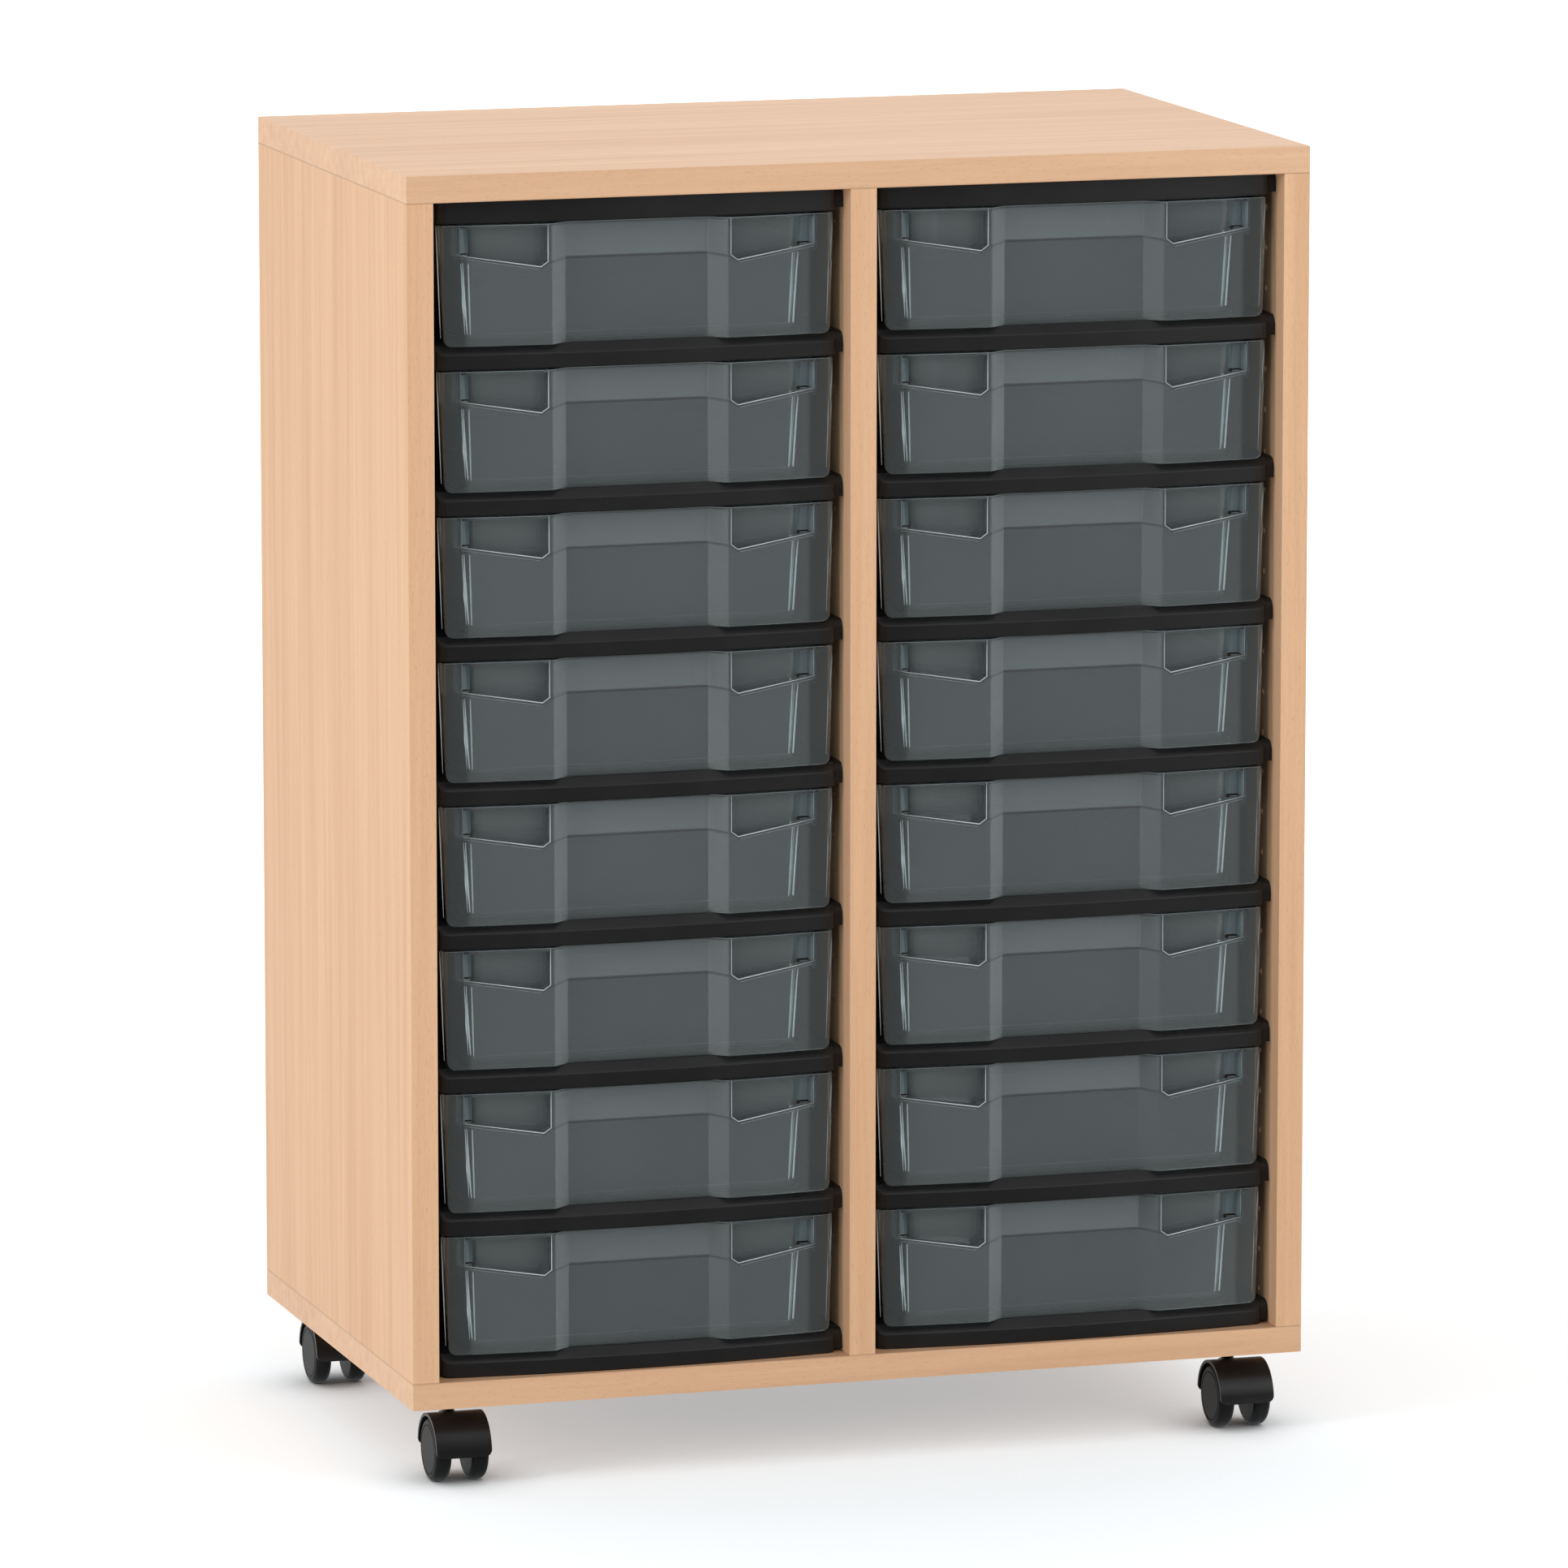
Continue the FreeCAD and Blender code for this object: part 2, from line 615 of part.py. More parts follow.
def shelf_hollow(made):
    """Opens the underside, then puts back ribs below the plate. The outer ones close over the rim
    of the tray below."""
    start = bow(bar_recess, bar_half) + shell_wall
    half = bar_half - shell_wall
    end = shelf_deep - shell_wall
    sketch = new_sketch(made, "hollow_sketch", "XY_Plane")
    rectangle(sketch, -half, start, half, end)
    pocket(made, "hollow", sketch, bar_tall - plate_thick, reverse=True)
    lengthwise = new_sketch(made, "long_rib_sketch", "XY_Plane")
    for step in range(-rib_pairs, rib_pairs + 1):
        left = rim_middle * step / rib_pairs - rib_thick / 2
        rectangle(lengthwise, left, start, left + rib_thick, end)
    crosswise = new_sketch(made, "cross_rib_sketch", "XY_Plane")
    last = tray_back - rim_half + rim_middle - rib_thick / 2
    for step in range(1, rib_cells + 1):
        low = start + (last - start) * step / rib_cells
        rectangle(crosswise, -half, low, half, low + rib_thick)
    pad(made, "long_ribs", lengthwise, bar_tall - plate_thick)
    pad(made, "cross_ribs", crosswise, bar_tall - plate_thick)


def shelf_screw_holes(made):
    sketch = new_sketch(made, "screw_sketch", "YZ_Plane")
    for row in (screw_inset, inner_depth - screw_inset):
        circle(sketch, row, screw_lift, screw_dia + 2 * screw_gap)
    return pocket(made, "screw_holes", sketch, bay_width, both=True)


def shelf_guides(made):
    """Guide ribs beside the tray's bin, and the stop behind it."""
    sketch = new_sketch(made, "guide_sketch", "XY_Plane", bar_tall)
    inner = bin_half + guide_gap
    for left, right in ((-inner - guide_wide, -inner), (inner, inner + guide_wide)):
        rectangle(sketch, left, guide_inset, right, shelf_deep)
    pad(made, "guides", sketch, guide_tall)
    sketch = new_sketch(made, "stop_sketch", "XY_Plane", bar_tall)
    rectangle(sketch, -stop_span / 2, shelf_deep - stop_thick, stop_span / 2, shelf_deep)
    return pad(made, "stop", sketch, stop_tall)


def shelf(name, is_top):
    """A moulded shelf. The top one only closes the bay, so it has a plain face and no guides."""
    made = body(name)
    block = shelf_block(made)
    if not is_top:
        block = slope_cut(made)
    upper = bar_tall if is_top else bar_face
    reach = bow(bar_recess, bar_half) + bar_corner

    def long_edge(edge):
        spot = middle(edge)
        return spot.y < reach.value - NEARNESS and (near(spot.z, 0) or near(spot.z, upper))

    rounded(made, "bar_edges", block, bar_edge, long_edge)
    shelf_rails(made)
    shelf_hollow(made)
    holes = shelf_screw_holes(made)
    made.Tip = holes if is_top else shelf_guides(made)
    return made


COLUMNS = {"left": -bay_centre, "right": bay_centre}
shelves = []
top_rail = shelf("top_rail_left", True)
place(top_rail, -bay_centre, front, bay_floor + row_count * shelf_pitch)
shelves.append(top_rail)
shelves.append(copy_of("top_rail_right", top_rail, 2 * bay_centre, 0, 0))
first_shelf = shelf("tray_shelf_left_1", False)
place(first_shelf, -bay_centre, front, bay_floor + (row_count - 1) * shelf_pitch)
shelves.append(first_shelf)
for column, centre in COLUMNS.items():
    for row in range(1, row_count + 1):
        if (column, row) == ("left", 1):
            continue
        shelves.append(copy_of(f"tray_shelf_{column}_{row}", first_shelf,
                               centre + bay_centre, 0, -(row - 1) * shelf_pitch))


# ---------------------------------------------------------------- trays

label_band = tray_wall + bin_gap
bin_front = label_recess + label_band + bin_spread
bin_back = tray_back - rim_overhang
label_low = tray_tall - label_tall
grip_outer = rim_half - grip_margin
grip_inner = label_half + grip_jamb
grip_low_at = grip_inner + grip_hook_run
grip_low = tray_tall - grip_deep
grip_hook = tray_tall - grip_hook_deep
grip_end = tray_tall - grip_end_deep


def front_curve(shift):
    """The front panel in plan from left to right, shift behind its outer face."""
    half = front_half - shift
    radius = bow_radius - shift
    side = bow(tray_recess, front_half) + shift
    step = bow(tray_recess, label_half) + shift
    return [(-half, side, radius, 1), (-label_half, step), (-label_half + label_run, label_recess + shift),
            (label_half - label_run, label_recess + shift), (label_half, step, radius, 1), (half, side)]


def bin_outside(made):
    """The bin as a solid block with sloping sides, and its rim."""
    sketch = new_sketch(made, "bin_sketch", "XY_Plane")
    rounded_rectangle(sketch, -bin_half, bin_front, bin_half, bin_back, bin_corner)
    block = pad(made, "bin", sketch, tray_tall, draft=bin_draft)
    rounded(made, "bin_foot_edges", block, bin_foot, lambda edge: near(middle(edge).z, 0))
    sketch = new_sketch(made, "rim_sketch", "XY_Plane", tray_tall - tray_wall)
    rectangle(sketch, -rim_half, 0, rim_half, tray_back)
    pad(made, "rim", sketch, tray_wall)
    sketch = new_sketch(made, "lip_sketch", "XY_Plane", tray_tall - lip_tall)
    start = bin_front - bin_spread + tray_wall
    inner = rim_half - tray_wall
    outline(sketch, [(-rim_half, start), (-inner, start), (-inner, tray_back - tray_wall),
                     (inner, tray_back - tray_wall), (inner, start), (rim_half, start),
                     (rim_half, tray_back), (-rim_half, tray_back)])
    return pad(made, "lip", sketch, lip_tall)


def front_panel(made):
    """The thin front panel with its recessed middle, narrower towards its foot."""
    sketch = new_sketch(made, "front_sketch", "XY_Plane")
    reach = bow(tray_recess, front_half) + front_return
    inner = [(corner[0], corner[1]) for corner in front_curve(tray_wall)]
    inner.reverse()
    arcs = {0: -1, 4: -1}
    radius = bow_radius - tray_wall
    inner = [corner + (radius, arcs[index]) if index in arcs else corner
             for index, corner in enumerate(inner)]
    outline(sketch, front_curve(ZERO) + [(front_half, reach), (front_half - tray_wall, reach)] + inner
            + [(-front_half + tray_wall, reach), (-front_half, reach)])
    panel = pad(made, "front", sketch, tray_tall)
    side = bow(tray_recess, front_half)
    panel = rounded(made, "front_outer_corners", panel, front_corner,
                    lambda edge: along(edge, Z_AXIS) and near(middle(edge).y, side)
                    and near(abs(middle(edge).x), front_half))
    rounded(made, "front_inner_corners", panel, front_corner - tray_wall,
            lambda edge: along(edge, Z_AXIS) and near(middle(edge).y, side + tray_wall)
            and near(abs(middle(edge).x), front_half - tray_wall))
    sketch = new_sketch(made, "tuck_sketch", "XZ_Plane")
    margin = front_return
    low_half = front_half - tray_tuck
    rectangle(sketch, -front_half - margin, -margin, front_half + margin, tray_tall + margin)
    outline(sketch, [(-low_half + front_foot, 0), (low_half - front_foot, 0, front_foot, 1),
                     (low_half, front_foot), (front_half, tray_tall + 1),
                     (-front_half, tray_tall + 1), (-low_half, front_foot, front_foot, 1)])
    return pocket(made, "tuck", sketch, tray_back)


def grips(made):
    """The two grip openings, the ledge below them and the walls beside them."""
    top = tray_tall - tray_wall
    reach = bin_front - bin_spread
    sketch = new_sketch(made, "grip_sketch", "XZ_Plane")
    for side in (-1, 1):
        corners = [(side * grip_inner, top), (side * grip_inner, grip_hook),
                   (side * grip_low_at, grip_low), (side * grip_outer, grip_end),
                   (side * grip_outer, top)]
        outline(sketch, corners)
    pocket(made, "grip_openings", sketch, reach)
    sketch = new_sketch(made, "ledge_sketch", "XZ_Plane")
    upper = [(-grip_outer, grip_end), (-grip_low_at, grip_low), (-grip_inner, grip_hook),
             (-label_half + label_run, label_low), (label_half - label_run, label_low),
             (grip_inner, grip_hook), (grip_low_at, grip_low), (grip_outer, grip_end)]
    lower = [(u, v - tray_wall) for u, v in reversed(upper)]
    outline(sketch, upper + lower)
    pad(made, "ledge", sketch, reach + tray_wall, reverse=True)
    sketch = new_sketch(made, "grip_side_sketch", "XY_Plane", label_low - tray_wall)
    for left, right in ((-grip_outer - tray_wall, -grip_outer), (-grip_inner, -grip_inner + tray_wall),
                        (grip_inner - tray_wall, grip_inner), (grip_outer, grip_outer + tray_wall)):
        rectangle(sketch, left, 0, right, reach + tray_wall)
    pad(made, "grip_sides", sketch, tray_tall - label_low + tray_wall)
    sketch = new_sketch(made, "label_sketch", "XY_Plane", label_low)
    reach_back = label_recess + label_band
    rectangle(sketch, -label_half + label_run, label_recess, label_half - label_run, reach_back)
    pad(made, "label_band", sketch, tray_tall - label_low)
    sketch = new_sketch(made, "front_trim_sketch", "XY_Plane")
    margin = front_return
    side = bow(tray_recess, front_half)
    curve = list(reversed(front_curve(ZERO)))
    curve = [(corner[0], corner[1]) for corner in curve]
    curve[0] += (bow_radius, -1)
    curve[4] += (bow_radius, -1)
    outline(sketch, [(-front_half - margin, side), (-front_half - margin, -margin),
                     (front_half + margin, -margin), (front_half + margin, side)] + curve)
    return pocket(made, "front_trim", sketch, tray_tall, reverse=True)


def bin_inside(made):
    """Hollows the bin out from its top."""
    sketch = new_sketch(made, "cavity_sketch", "XY_Plane", tray_tall)
    spread = bin_spread - tray_wall
    rounded_rectangle(sketch, -bin_half - spread, bin_front - spread,
                      bin_half + spread, bin_back + spread, bin_corner + spread)
    hole = pocket(made, "cavity", sketch, tray_tall - tray_wall, draft=-bin_draft)
    reach = bin_half + bin_spread
    return rounded(made, "cavity_floor", hole, bin_foot - tray_wall,
                   lambda edge: near(middle(edge).z, tray_wall) and abs(middle(edge).x) < reach.value
                   and middle(edge).y > bin_front.value)


def tray(name):
    made = body(name)
    bin_outside(made)
    front_panel(made)
    grips(made)
    made.Tip = bin_inside(made)
    return made


trays = []
first_tray = tray("tray_left_1")
tray_floor = bay_floor + (row_count - 1) * shelf_pitch + bar_tall
place(first_tray, -bay_centre, front, tray_floor)
trays.append(first_tray)
for column, centre in COLUMNS.items():
    for row in range(1, row_count + 1):
        if (column, row) == ("left", 1):
            continue
        trays.append(copy_of(f"tray_{column}_{row}", first_tray,
                             centre + bay_centre, 0, -(row - 1) * shelf_pitch))


# ---------------------------------------------------------------- casters

wheel_inner = web_half + web_gap
wheel_outer = wheel_inner + wheel_wide
hood_half = wheel_outer + hood_side_gap
boss_top = hood_outer - boss_drop


def hood(made):
    """The arched hood over both wheels, with rounded lower corners."""
    sketch = new_sketch(made, "hood_sketch", "YZ_Plane")
    outline(sketch, [(hood_outer, -hood_skirt), (hood_outer, 0, hood_outer, 1),
                     (0, hood_outer, hood_outer, 1), (-hood_outer, 0), (-hood_outer, -hood_skirt),
                     (-hood_inner, -hood_skirt), (-hood_inner, 0, hood_inner, -1),
                     (0, hood_inner, hood_inner, -1), (hood_inner, 0), (hood_inner, -hood_skirt)])
    pad(made, "hood", sketch, 2 * hood_half, both=True)
    sketch = new_sketch(made, "hood_corner_sketch", "XZ_Plane")
    start = hood_corner - hood_skirt
    for side in (-1, 1):
        outline(sketch, [(side * hood_half, start, hood_corner, -side),
                         (side * (hood_half - hood_corner), -hood_skirt),
                         (side * (hood_half - hood_corner), -hood_skirt - 1),
                         (side * (hood_half + 1), -hood_skirt - 1),
                         (side * (hood_half + 1), start)])
    pocket(made, "hood_corners", sketch, 4 * hood_outer, both=True)


def housing(name):
    """The caster's housing: a hood, and a web between the wheels with its two bosses."""
    made = body(name)
    hood(made)
    sketch = new_sketch(made, "web_sketch", "YZ_Plane")
    web_radius = hood_inner + hood_wall / 2
    block_front = caster_trail - web_half
    block_back = caster_trail + web_half
    outline(sketch, [(-web_radius, 0), (-boss_radius, 0, boss_radius, 1), (0, -boss_radius, boss_radius, 1),
                     (boss_radius, 0), (block_back, 0), (block_back, boss_top), (block_front, boss_top),
                     (block_front, root(web_radius * web_radius - block_front * block_front), web_radius, 1)])
    web = pad(made, "web", sketch, 2 * web_half, both=True)
    rounded(made, "stem_boss", web, web_half * 0.9,
            lambda edge: along(edge, Z_AXIS) and near(abs(middle(edge).x), web_half)
            and near(middle(edge).y, block_back))
    sketch = new_sketch(made, "axle_sketch", "YZ_Plane")
    circle(sketch, 0, 0, axle_dia)
    pocket(made, "axle_hole", sketch, 4 * web_half, both=True)
    sketch = new_sketch(made, "stem_sketch", "XY_Plane", boss_top)
    circle(sketch, 0, caster_trail, stem_dia + 2 * stem_gap)
    made.Tip = pocket(made, "stem_bore", sketch, stem_long)
    return made


def axle(name):
    """The steel axle, centred in the web and reaching into both wheels."""
    made = body(name)
    half = wheel_outer - bore_cover - axle_end_gap
    sketch = new_sketch(made, "axle_sketch", "YZ_Plane")
    circle(sketch, 0, 0, axle_dia)
    made.Tip = pad(made, "axle", sketch, 2 * half, both=True)
    return made


def wheel(name):
    """One moulded wheel, right of the web, with a blind bore and a disc on its outer face."""
    made = body(name)
    hub_radius = hub_dia / 2
    bore_end = wheel_outer - bore_cover
    bore = axle_dia / 2 + axle_gap
    sketch = new_sketch(made, "section_sketch", "XY_Plane")
    outline(sketch, [(bore_end, 0), (wheel_outer, 0), (wheel_outer, hub_radius - hub_groove),
                     (wheel_outer - hub_groove, hub_radius), (wheel_outer, hub_radius + hub_groove),
                     (wheel_outer, wheel_radius - wheel_outer_round, wheel_outer_round, 1),
                     (wheel_outer - wheel_outer_round, wheel_radius),
                     (wheel_inner + wheel_inner_round, wheel_radius, wheel_inner_round, 1),
                     (wheel_inner, wheel_radius - wheel_inner_round), (wheel_inner, bore),
                     (bore_end, bore)])
    made.Tip = revolved(made, "wheel", sketch, "H_Axis")
    return made


def stem(name):
    """The steel stem from its bore in the housing, past its collar, to its socket."""
    made = body(name)
    foot = boss_top - stem_long + collar_gap
    seat = caster_tall - wheel_radius
    sketch = new_sketch(made, "section_sketch", "XZ_Plane")
    outline(sketch, [(0, foot), (stem_dia / 2, foot), (stem_dia / 2, boss_top + collar_gap),
                     (collar_dia / 2, boss_top + collar_gap), (collar_dia / 2, seat),
                     (stem_dia / 2, seat), (stem_dia / 2, seat + shank_long), (0, seat + shank_long)])
    made.Tip = revolved(made, "stem", sketch, "V_Axis")
    return made


def socket(name):
    """The sleeve that is pressed into the bottom board and holds the stem."""
    made = body(name)
    seat = caster_tall - wheel_radius
    sketch = new_sketch(made, "section_sketch", "XZ_Plane")
    outline(sketch, [(stem_dia / 2, seat), (socket_dia / 2, seat), (socket_dia / 2, seat + socket_long),
                     (0, seat + socket_long), (0, seat + shank_long), (stem_dia / 2, seat + shank_long)])
    made.Tip = revolved(made, "socket", sketch, "V_Axis")
    return made


casters = []
stem_places = []
for corner, (across, deep) in stem_spots().items():
    axle_y = front + deep - caster_trail
    made_housing = housing(f"caster_{corner}_housing")
    place(made_housing, across, axle_y, wheel_radius)
    made_axle = axle(f"caster_{corner}_axle")
    place(made_axle, across, axle_y, wheel_radius)
    casters += [made_housing, made_axle]
    for side, turn in (("left", 180), ("right", 0)):
        made_wheel = wheel(f"caster_{corner}_wheel_{side}")
        place(made_wheel, across, axle_y, wheel_radius, turn)
        casters.append(made_wheel)
    spot = FreeCAD.Vector(across.value, (front + deep).value, wheel_radius.value)
    stem_places.append((spot, FreeCAD.Rotation()))

stems = group_of("caster_stems", stem("stem"), stem_places)
sockets = group_of("caster_sockets", socket("socket"), stem_places)


# ---------------------------------------------------------------- dowels and screws

def dowel(name):
    made = body(name)
    sketch = new_sketch(made, "dowel_sketch", "XY_Plane")
    circle(sketch, 0, 0, dowel_dia)
    made.Tip = pad(made, "dowel", sketch, dowel_long, both=True)
    return made


def dowel_places():
    """Each dowel stands across a joint, with the same gap at both its ends."""
    slack = dowel_in_face - dowel_in_end
    spots = []
    for column in (-bay_width - board, ZERO, bay_width + board):
        for row in dowel_rows():
            for joint, sign in ((bay_floor, -1), (bay_floor + upright_tall, 1)):
                height = joint + sign * slack / 2
                vector = FreeCAD.Vector(column.value, (front + row).value, height.value)
                spots.append((vector, FreeCAD.Rotation()))
    return spots


def screw(name):
    """A pan-head screw along X, with its head's underside at the origin."""
    made = body(name)
    sketch = new_sketch(made, "section_sketch", "XY_Plane")
    outline(sketch, [(-head_tall, 0), (screw_long, 0), (screw_long - screw_dia, screw_dia / 2),
                     (0, screw_dia / 2), (0, head_dia / 2), (-head_tall / 2, head_dia / 2),
                     (-head_tall, head_dia / 3)])
    made.Tip = revolved(made, "screw", sketch, "H_Axis")
    return made


def screw_places():
    """Four screws through the rails of each shelf, and a row through the back panel."""
    spots = []
    turned = FreeCAD.Rotation(Z_AXIS, 180)
    for centre in COLUMNS.values():
        for row in range(row_count + 1):
            height = bay_floor + row * shelf_pitch + screw_lift
            for deep in (screw_inset, inner_depth - screw_inset):
                for sign, rotation in ((1, FreeCAD.Rotation()), (-1, turned)):
                    across = centre + sign * (bar_half - shell_wall)
                    vector = FreeCAD.Vector(across.value, (front + deep).value, height.value)
                    spots.append((vector, rotation))
    forward = FreeCAD.Rotation(Z_AXIS, -90)
    for row in back_screw_rows():
        vector = FreeCAD.Vector(0, (front + inner_depth + back_thick).value, (bay_floor + row).value)
        spots.append((vector, forward))
    return spots


dowels = group_of("carcass_dowels", dowel("dowel"), dowel_places())
screws = group_of("assembly_screws", screw("screw"), screw_places())


# ---------------------------------------------------------------- checks and files

NODES = [left_side, right_side, centre_divider, top_board, bottom_board, back_panel]
NODES += shelves + trays + casters + [stems, sockets, dowels, screws]

doc.recompute()
for item in doc.Objects:
    if "Invalid" in item.State or "Error" in item.State:
        raise RuntimeError(f"{item.Name} in {item.Label} failed: {item.State}")

os.makedirs("parts", exist_ok=True)
for node in NODES:
    shape = node.Shape
    if shape.isNull() or not shape.isValid() or not shape.Solids:
        raise RuntimeError(f"{node.Label} has no valid solid")
    shape.exportStep(f"parts/{node.Label}.step")
    print(f"{node.Label}: {len(shape.Solids)} solids, {shape.Volume / 1000:.1f} cm3")
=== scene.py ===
import math

import bpy
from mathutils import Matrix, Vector


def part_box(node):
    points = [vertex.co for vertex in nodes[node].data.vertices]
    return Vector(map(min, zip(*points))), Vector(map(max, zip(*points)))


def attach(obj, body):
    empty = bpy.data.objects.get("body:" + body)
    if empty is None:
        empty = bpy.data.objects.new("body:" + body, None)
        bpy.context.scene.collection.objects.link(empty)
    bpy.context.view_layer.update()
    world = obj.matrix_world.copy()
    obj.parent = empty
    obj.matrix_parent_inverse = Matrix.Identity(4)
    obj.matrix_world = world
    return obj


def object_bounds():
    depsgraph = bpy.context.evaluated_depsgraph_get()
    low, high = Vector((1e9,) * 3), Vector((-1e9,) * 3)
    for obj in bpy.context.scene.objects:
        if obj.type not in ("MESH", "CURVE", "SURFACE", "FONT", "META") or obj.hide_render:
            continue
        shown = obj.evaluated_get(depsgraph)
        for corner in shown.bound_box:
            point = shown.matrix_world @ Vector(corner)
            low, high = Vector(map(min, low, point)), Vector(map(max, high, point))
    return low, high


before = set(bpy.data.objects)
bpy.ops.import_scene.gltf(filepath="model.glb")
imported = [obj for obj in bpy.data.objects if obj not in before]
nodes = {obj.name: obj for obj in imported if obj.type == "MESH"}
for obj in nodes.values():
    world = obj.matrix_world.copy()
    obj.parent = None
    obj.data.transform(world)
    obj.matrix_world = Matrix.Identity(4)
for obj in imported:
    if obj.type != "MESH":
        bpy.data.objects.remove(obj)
cad_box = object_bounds()
scene = bpy.context.scene

# Metres, in the part's own frame: +Z up, the trays open towards -Y.
BOARDS_WITH_LEVEL_GRAIN = ("top_board", "bottom_board")
BOARDS_WITH_UPRIGHT_GRAIN = ("left_side_panel", "right_side_panel", "centre_divider", "back_panel")
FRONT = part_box("left_side_panel")[0].y
BACK_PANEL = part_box("back_panel")[0].y
INNER_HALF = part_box("right_side_panel")[0].x + 0.0001
CABINET_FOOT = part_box("bottom_board")[0].z
LOW_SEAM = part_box("bottom_board")[1].z
HIGH_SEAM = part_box("top_board")[0].z
SEAM_MIDDLE = (LOW_SEAM + HIGH_SEAM) / 2
SEAM_HALF = (HIGH_SEAM - LOW_SEAM) / 2
LOWEST_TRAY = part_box("tray_right_8")
TRAY_CENTRE = (LOWEST_TRAY[0].x + LOWEST_TRAY[1].x) / 2
TRAY_FLOOR = LOWEST_TRAY[0].z
TRAY_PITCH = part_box("tray_right_7")[0].z - TRAY_FLOOR


# ------------------------------------------------------------------ node helpers

MIX_COLOURS, MIX_RESULT = (6, 7), 2         # the colour sockets among all those of a Mix node
NOISE_RANGE = (0.3, 0.7)                    # what a noise gives at most places


class Tree:
    """Adds nodes to a material or a world, and links them by their sockets' names."""

    def __init__(self, owner):
        owner.use_nodes = True
        self.owner = owner
        self.tree = owner.node_tree
        self.shader = self.tree.nodes.get("Principled BSDF")
        self.output = self.tree.nodes.get("Material Output")

    def node(self, kind, settings=None, **sockets):
        made = self.tree.nodes.new(f"ShaderNode{kind}")
        for key, value in (settings or {}).items():
            setattr(made, key, value)
        for key, value in sockets.items():
            self.put(made.inputs[key.replace("_", " ")], value)
        return made

    def put(self, socket, value):
        if isinstance(value, bpy.types.NodeSocket):
            self.tree.links.new(value, socket)
        else:
            socket.default_value = value

    def place(self):
        """The part's own coordinates."""
        return self.node("TexCoord").outputs["Object"]

    def along_axes(self, vector):
        split = self.node("SeparateXYZ", Vector=vector)
        return split.outputs["X"], split.outputs["Y"], split.outputs["Z"]

    def noise(self, scale, detail=2.0, roughness=0.5):
        """A noise from 0 to 1. The scale is in cycles per metre along each axis."""
        vector = self.node("Mapping", Vector=self.place(), Scale=scale).outputs["Vector"]
        made = self.node("TexNoise", Vector=vector, Scale=1.0, Detail=detail, Roughness=roughness)
        return made.outputs["Fac"]

    def math(self, operation, first, second=0.0, clamp=False):
        made = self.node("Math", {"operation": operation, "use_clamp": clamp})
        self.put(made.inputs[0], first)
        self.put(made.inputs[1], second)
        return made.outputs[0]

    def vector_math(self, operation, first, second=(0, 0, 0), result="Vector"):
        made = self.node("VectorMath", {"operation": operation})
        self.put(made.inputs[0], first)
        self.put(made.inputs[1], second)
        return made.outputs[result]

    def distance(self, first, second):
        return self.math("ABSOLUTE", self.math("SUBTRACT", first, second))

    def product(self, first, *others):
        for other in others:
            first = self.math("MULTIPLY", first, other)
        return first

    def spread(self, value, low, high, to_low=0.0, to_high=1.0):
        """Goes from to_low to to_high as the value goes from low to high."""
        made = self.node("MapRange", Value=value, From_Min=low, From_Max=high,
                         To_Min=to_low, To_Max=to_high)
        return made.outputs["Result"]

    def fall(self, value, low, high):
        """Goes from 1 to 0 as the value goes from low to high."""
        return self.spread(value, low, high, 1.0, 0.0)

    def vary(self, noise, to_low=0.0, to_high=1.0):
        """Goes from to_low to to_high over the range that the noise mostly keeps to."""
        return self.spread(noise, *NOISE_RANGE, to_low, to_high)

    def mix(self, factor, first, second):
        """The first colour where the factor is 0 and the second where it is 1."""
        made = self.node("Mix", {"data_type": "RGBA"}, Factor=factor)
        for index, colour in zip(MIX_COLOURS, (first, second)):
            self.put(made.inputs[index], colour)
        return made.outputs[MIX_RESULT]

    def choose(self, factor, first, second):
        """The first shader where the factor is 0 and the second where it is 1."""
        made = self.node("MixShader", Fac=factor)
        self.put(made.inputs[1], first)
        self.put(made.inputs[2], second)
        return made.outputs["Shader"]

    def bump(self, height, strength, distance):
        made = self.node("Bump", Strength=strength, Distance=distance, Height=height)
        self.put(self.shader.inputs["Normal"], made.outputs["Normal"])

    def finish(self, **sockets):
        for key, value in sockets.items():
            self.put(self.shader.inputs[key.replace("_", " ")], value)
        return self.owner


def new_look(name):
    return Tree(bpy.data.materials.new(name))


def dress(names, material):
    for name in names:
        slots = nodes[name].data.materials
        slots.clear()
        slots.append(material)


# ------------------------------------------------------------------ wood

BEECH_PALE, BEECH_DEEP = (0.915, 0.590, 0.360, 1), (0.760, 0.450, 0.262, 1)
BAND_SHARE, STREAK_SHARE, FIBRE_SHARE = 0.35, 0.60, 0.20       # of the way from pale to deep
BEECH_ROUGHNESS = (0.40, 0.48)
FLECK_COLOUR, FLECK_STRENGTH = (0.62, 0.35, 0.20, 1), 0.36
SEAM_COLOUR, SEAM_STRENGTH = (0.36, 0.20, 0.11, 1), 0.45
# The painted shade of the carcass's inner faces: its colour and strength.
PAINTED_SHADE_COLOUR, PAINTED_SHADE_STRENGTH = (0.15, 0.08, 0.045, 1), 0.75
# Cycles per metre across the grain and along it.
BANDS, STREAKS = (16.0, 1.3), (95.0, 2.6)
FIBRES, FLECKS = (900.0, 26.0), (1300.0, 190.0)
# Where the noise of each begins to show and where it shows in full.
FIBRE_RANGE, FLECK_RANGE = (0.25, 0.75), (0.60, 0.72)
# Where each change begins and where it is complete. The inner faces are darkened by a painted shade
# behind the trays' front panels, in front of the back panel, between the sides, and between the
# bottom and top board.
SEAM_LINE = (0.0003, 0.0008)
SHADE_FORE = (FRONT + 0.026, FRONT + 0.032)
SHADE_REAR = (BACK_PANEL + 0.0005, BACK_PANEL + 0.0010)
SHADE_SIDE = (INNER_HALF, INNER_HALF + 0.0005)
SHADE_LEVEL = (SEAM_HALF, SEAM_HALF + 0.0002)


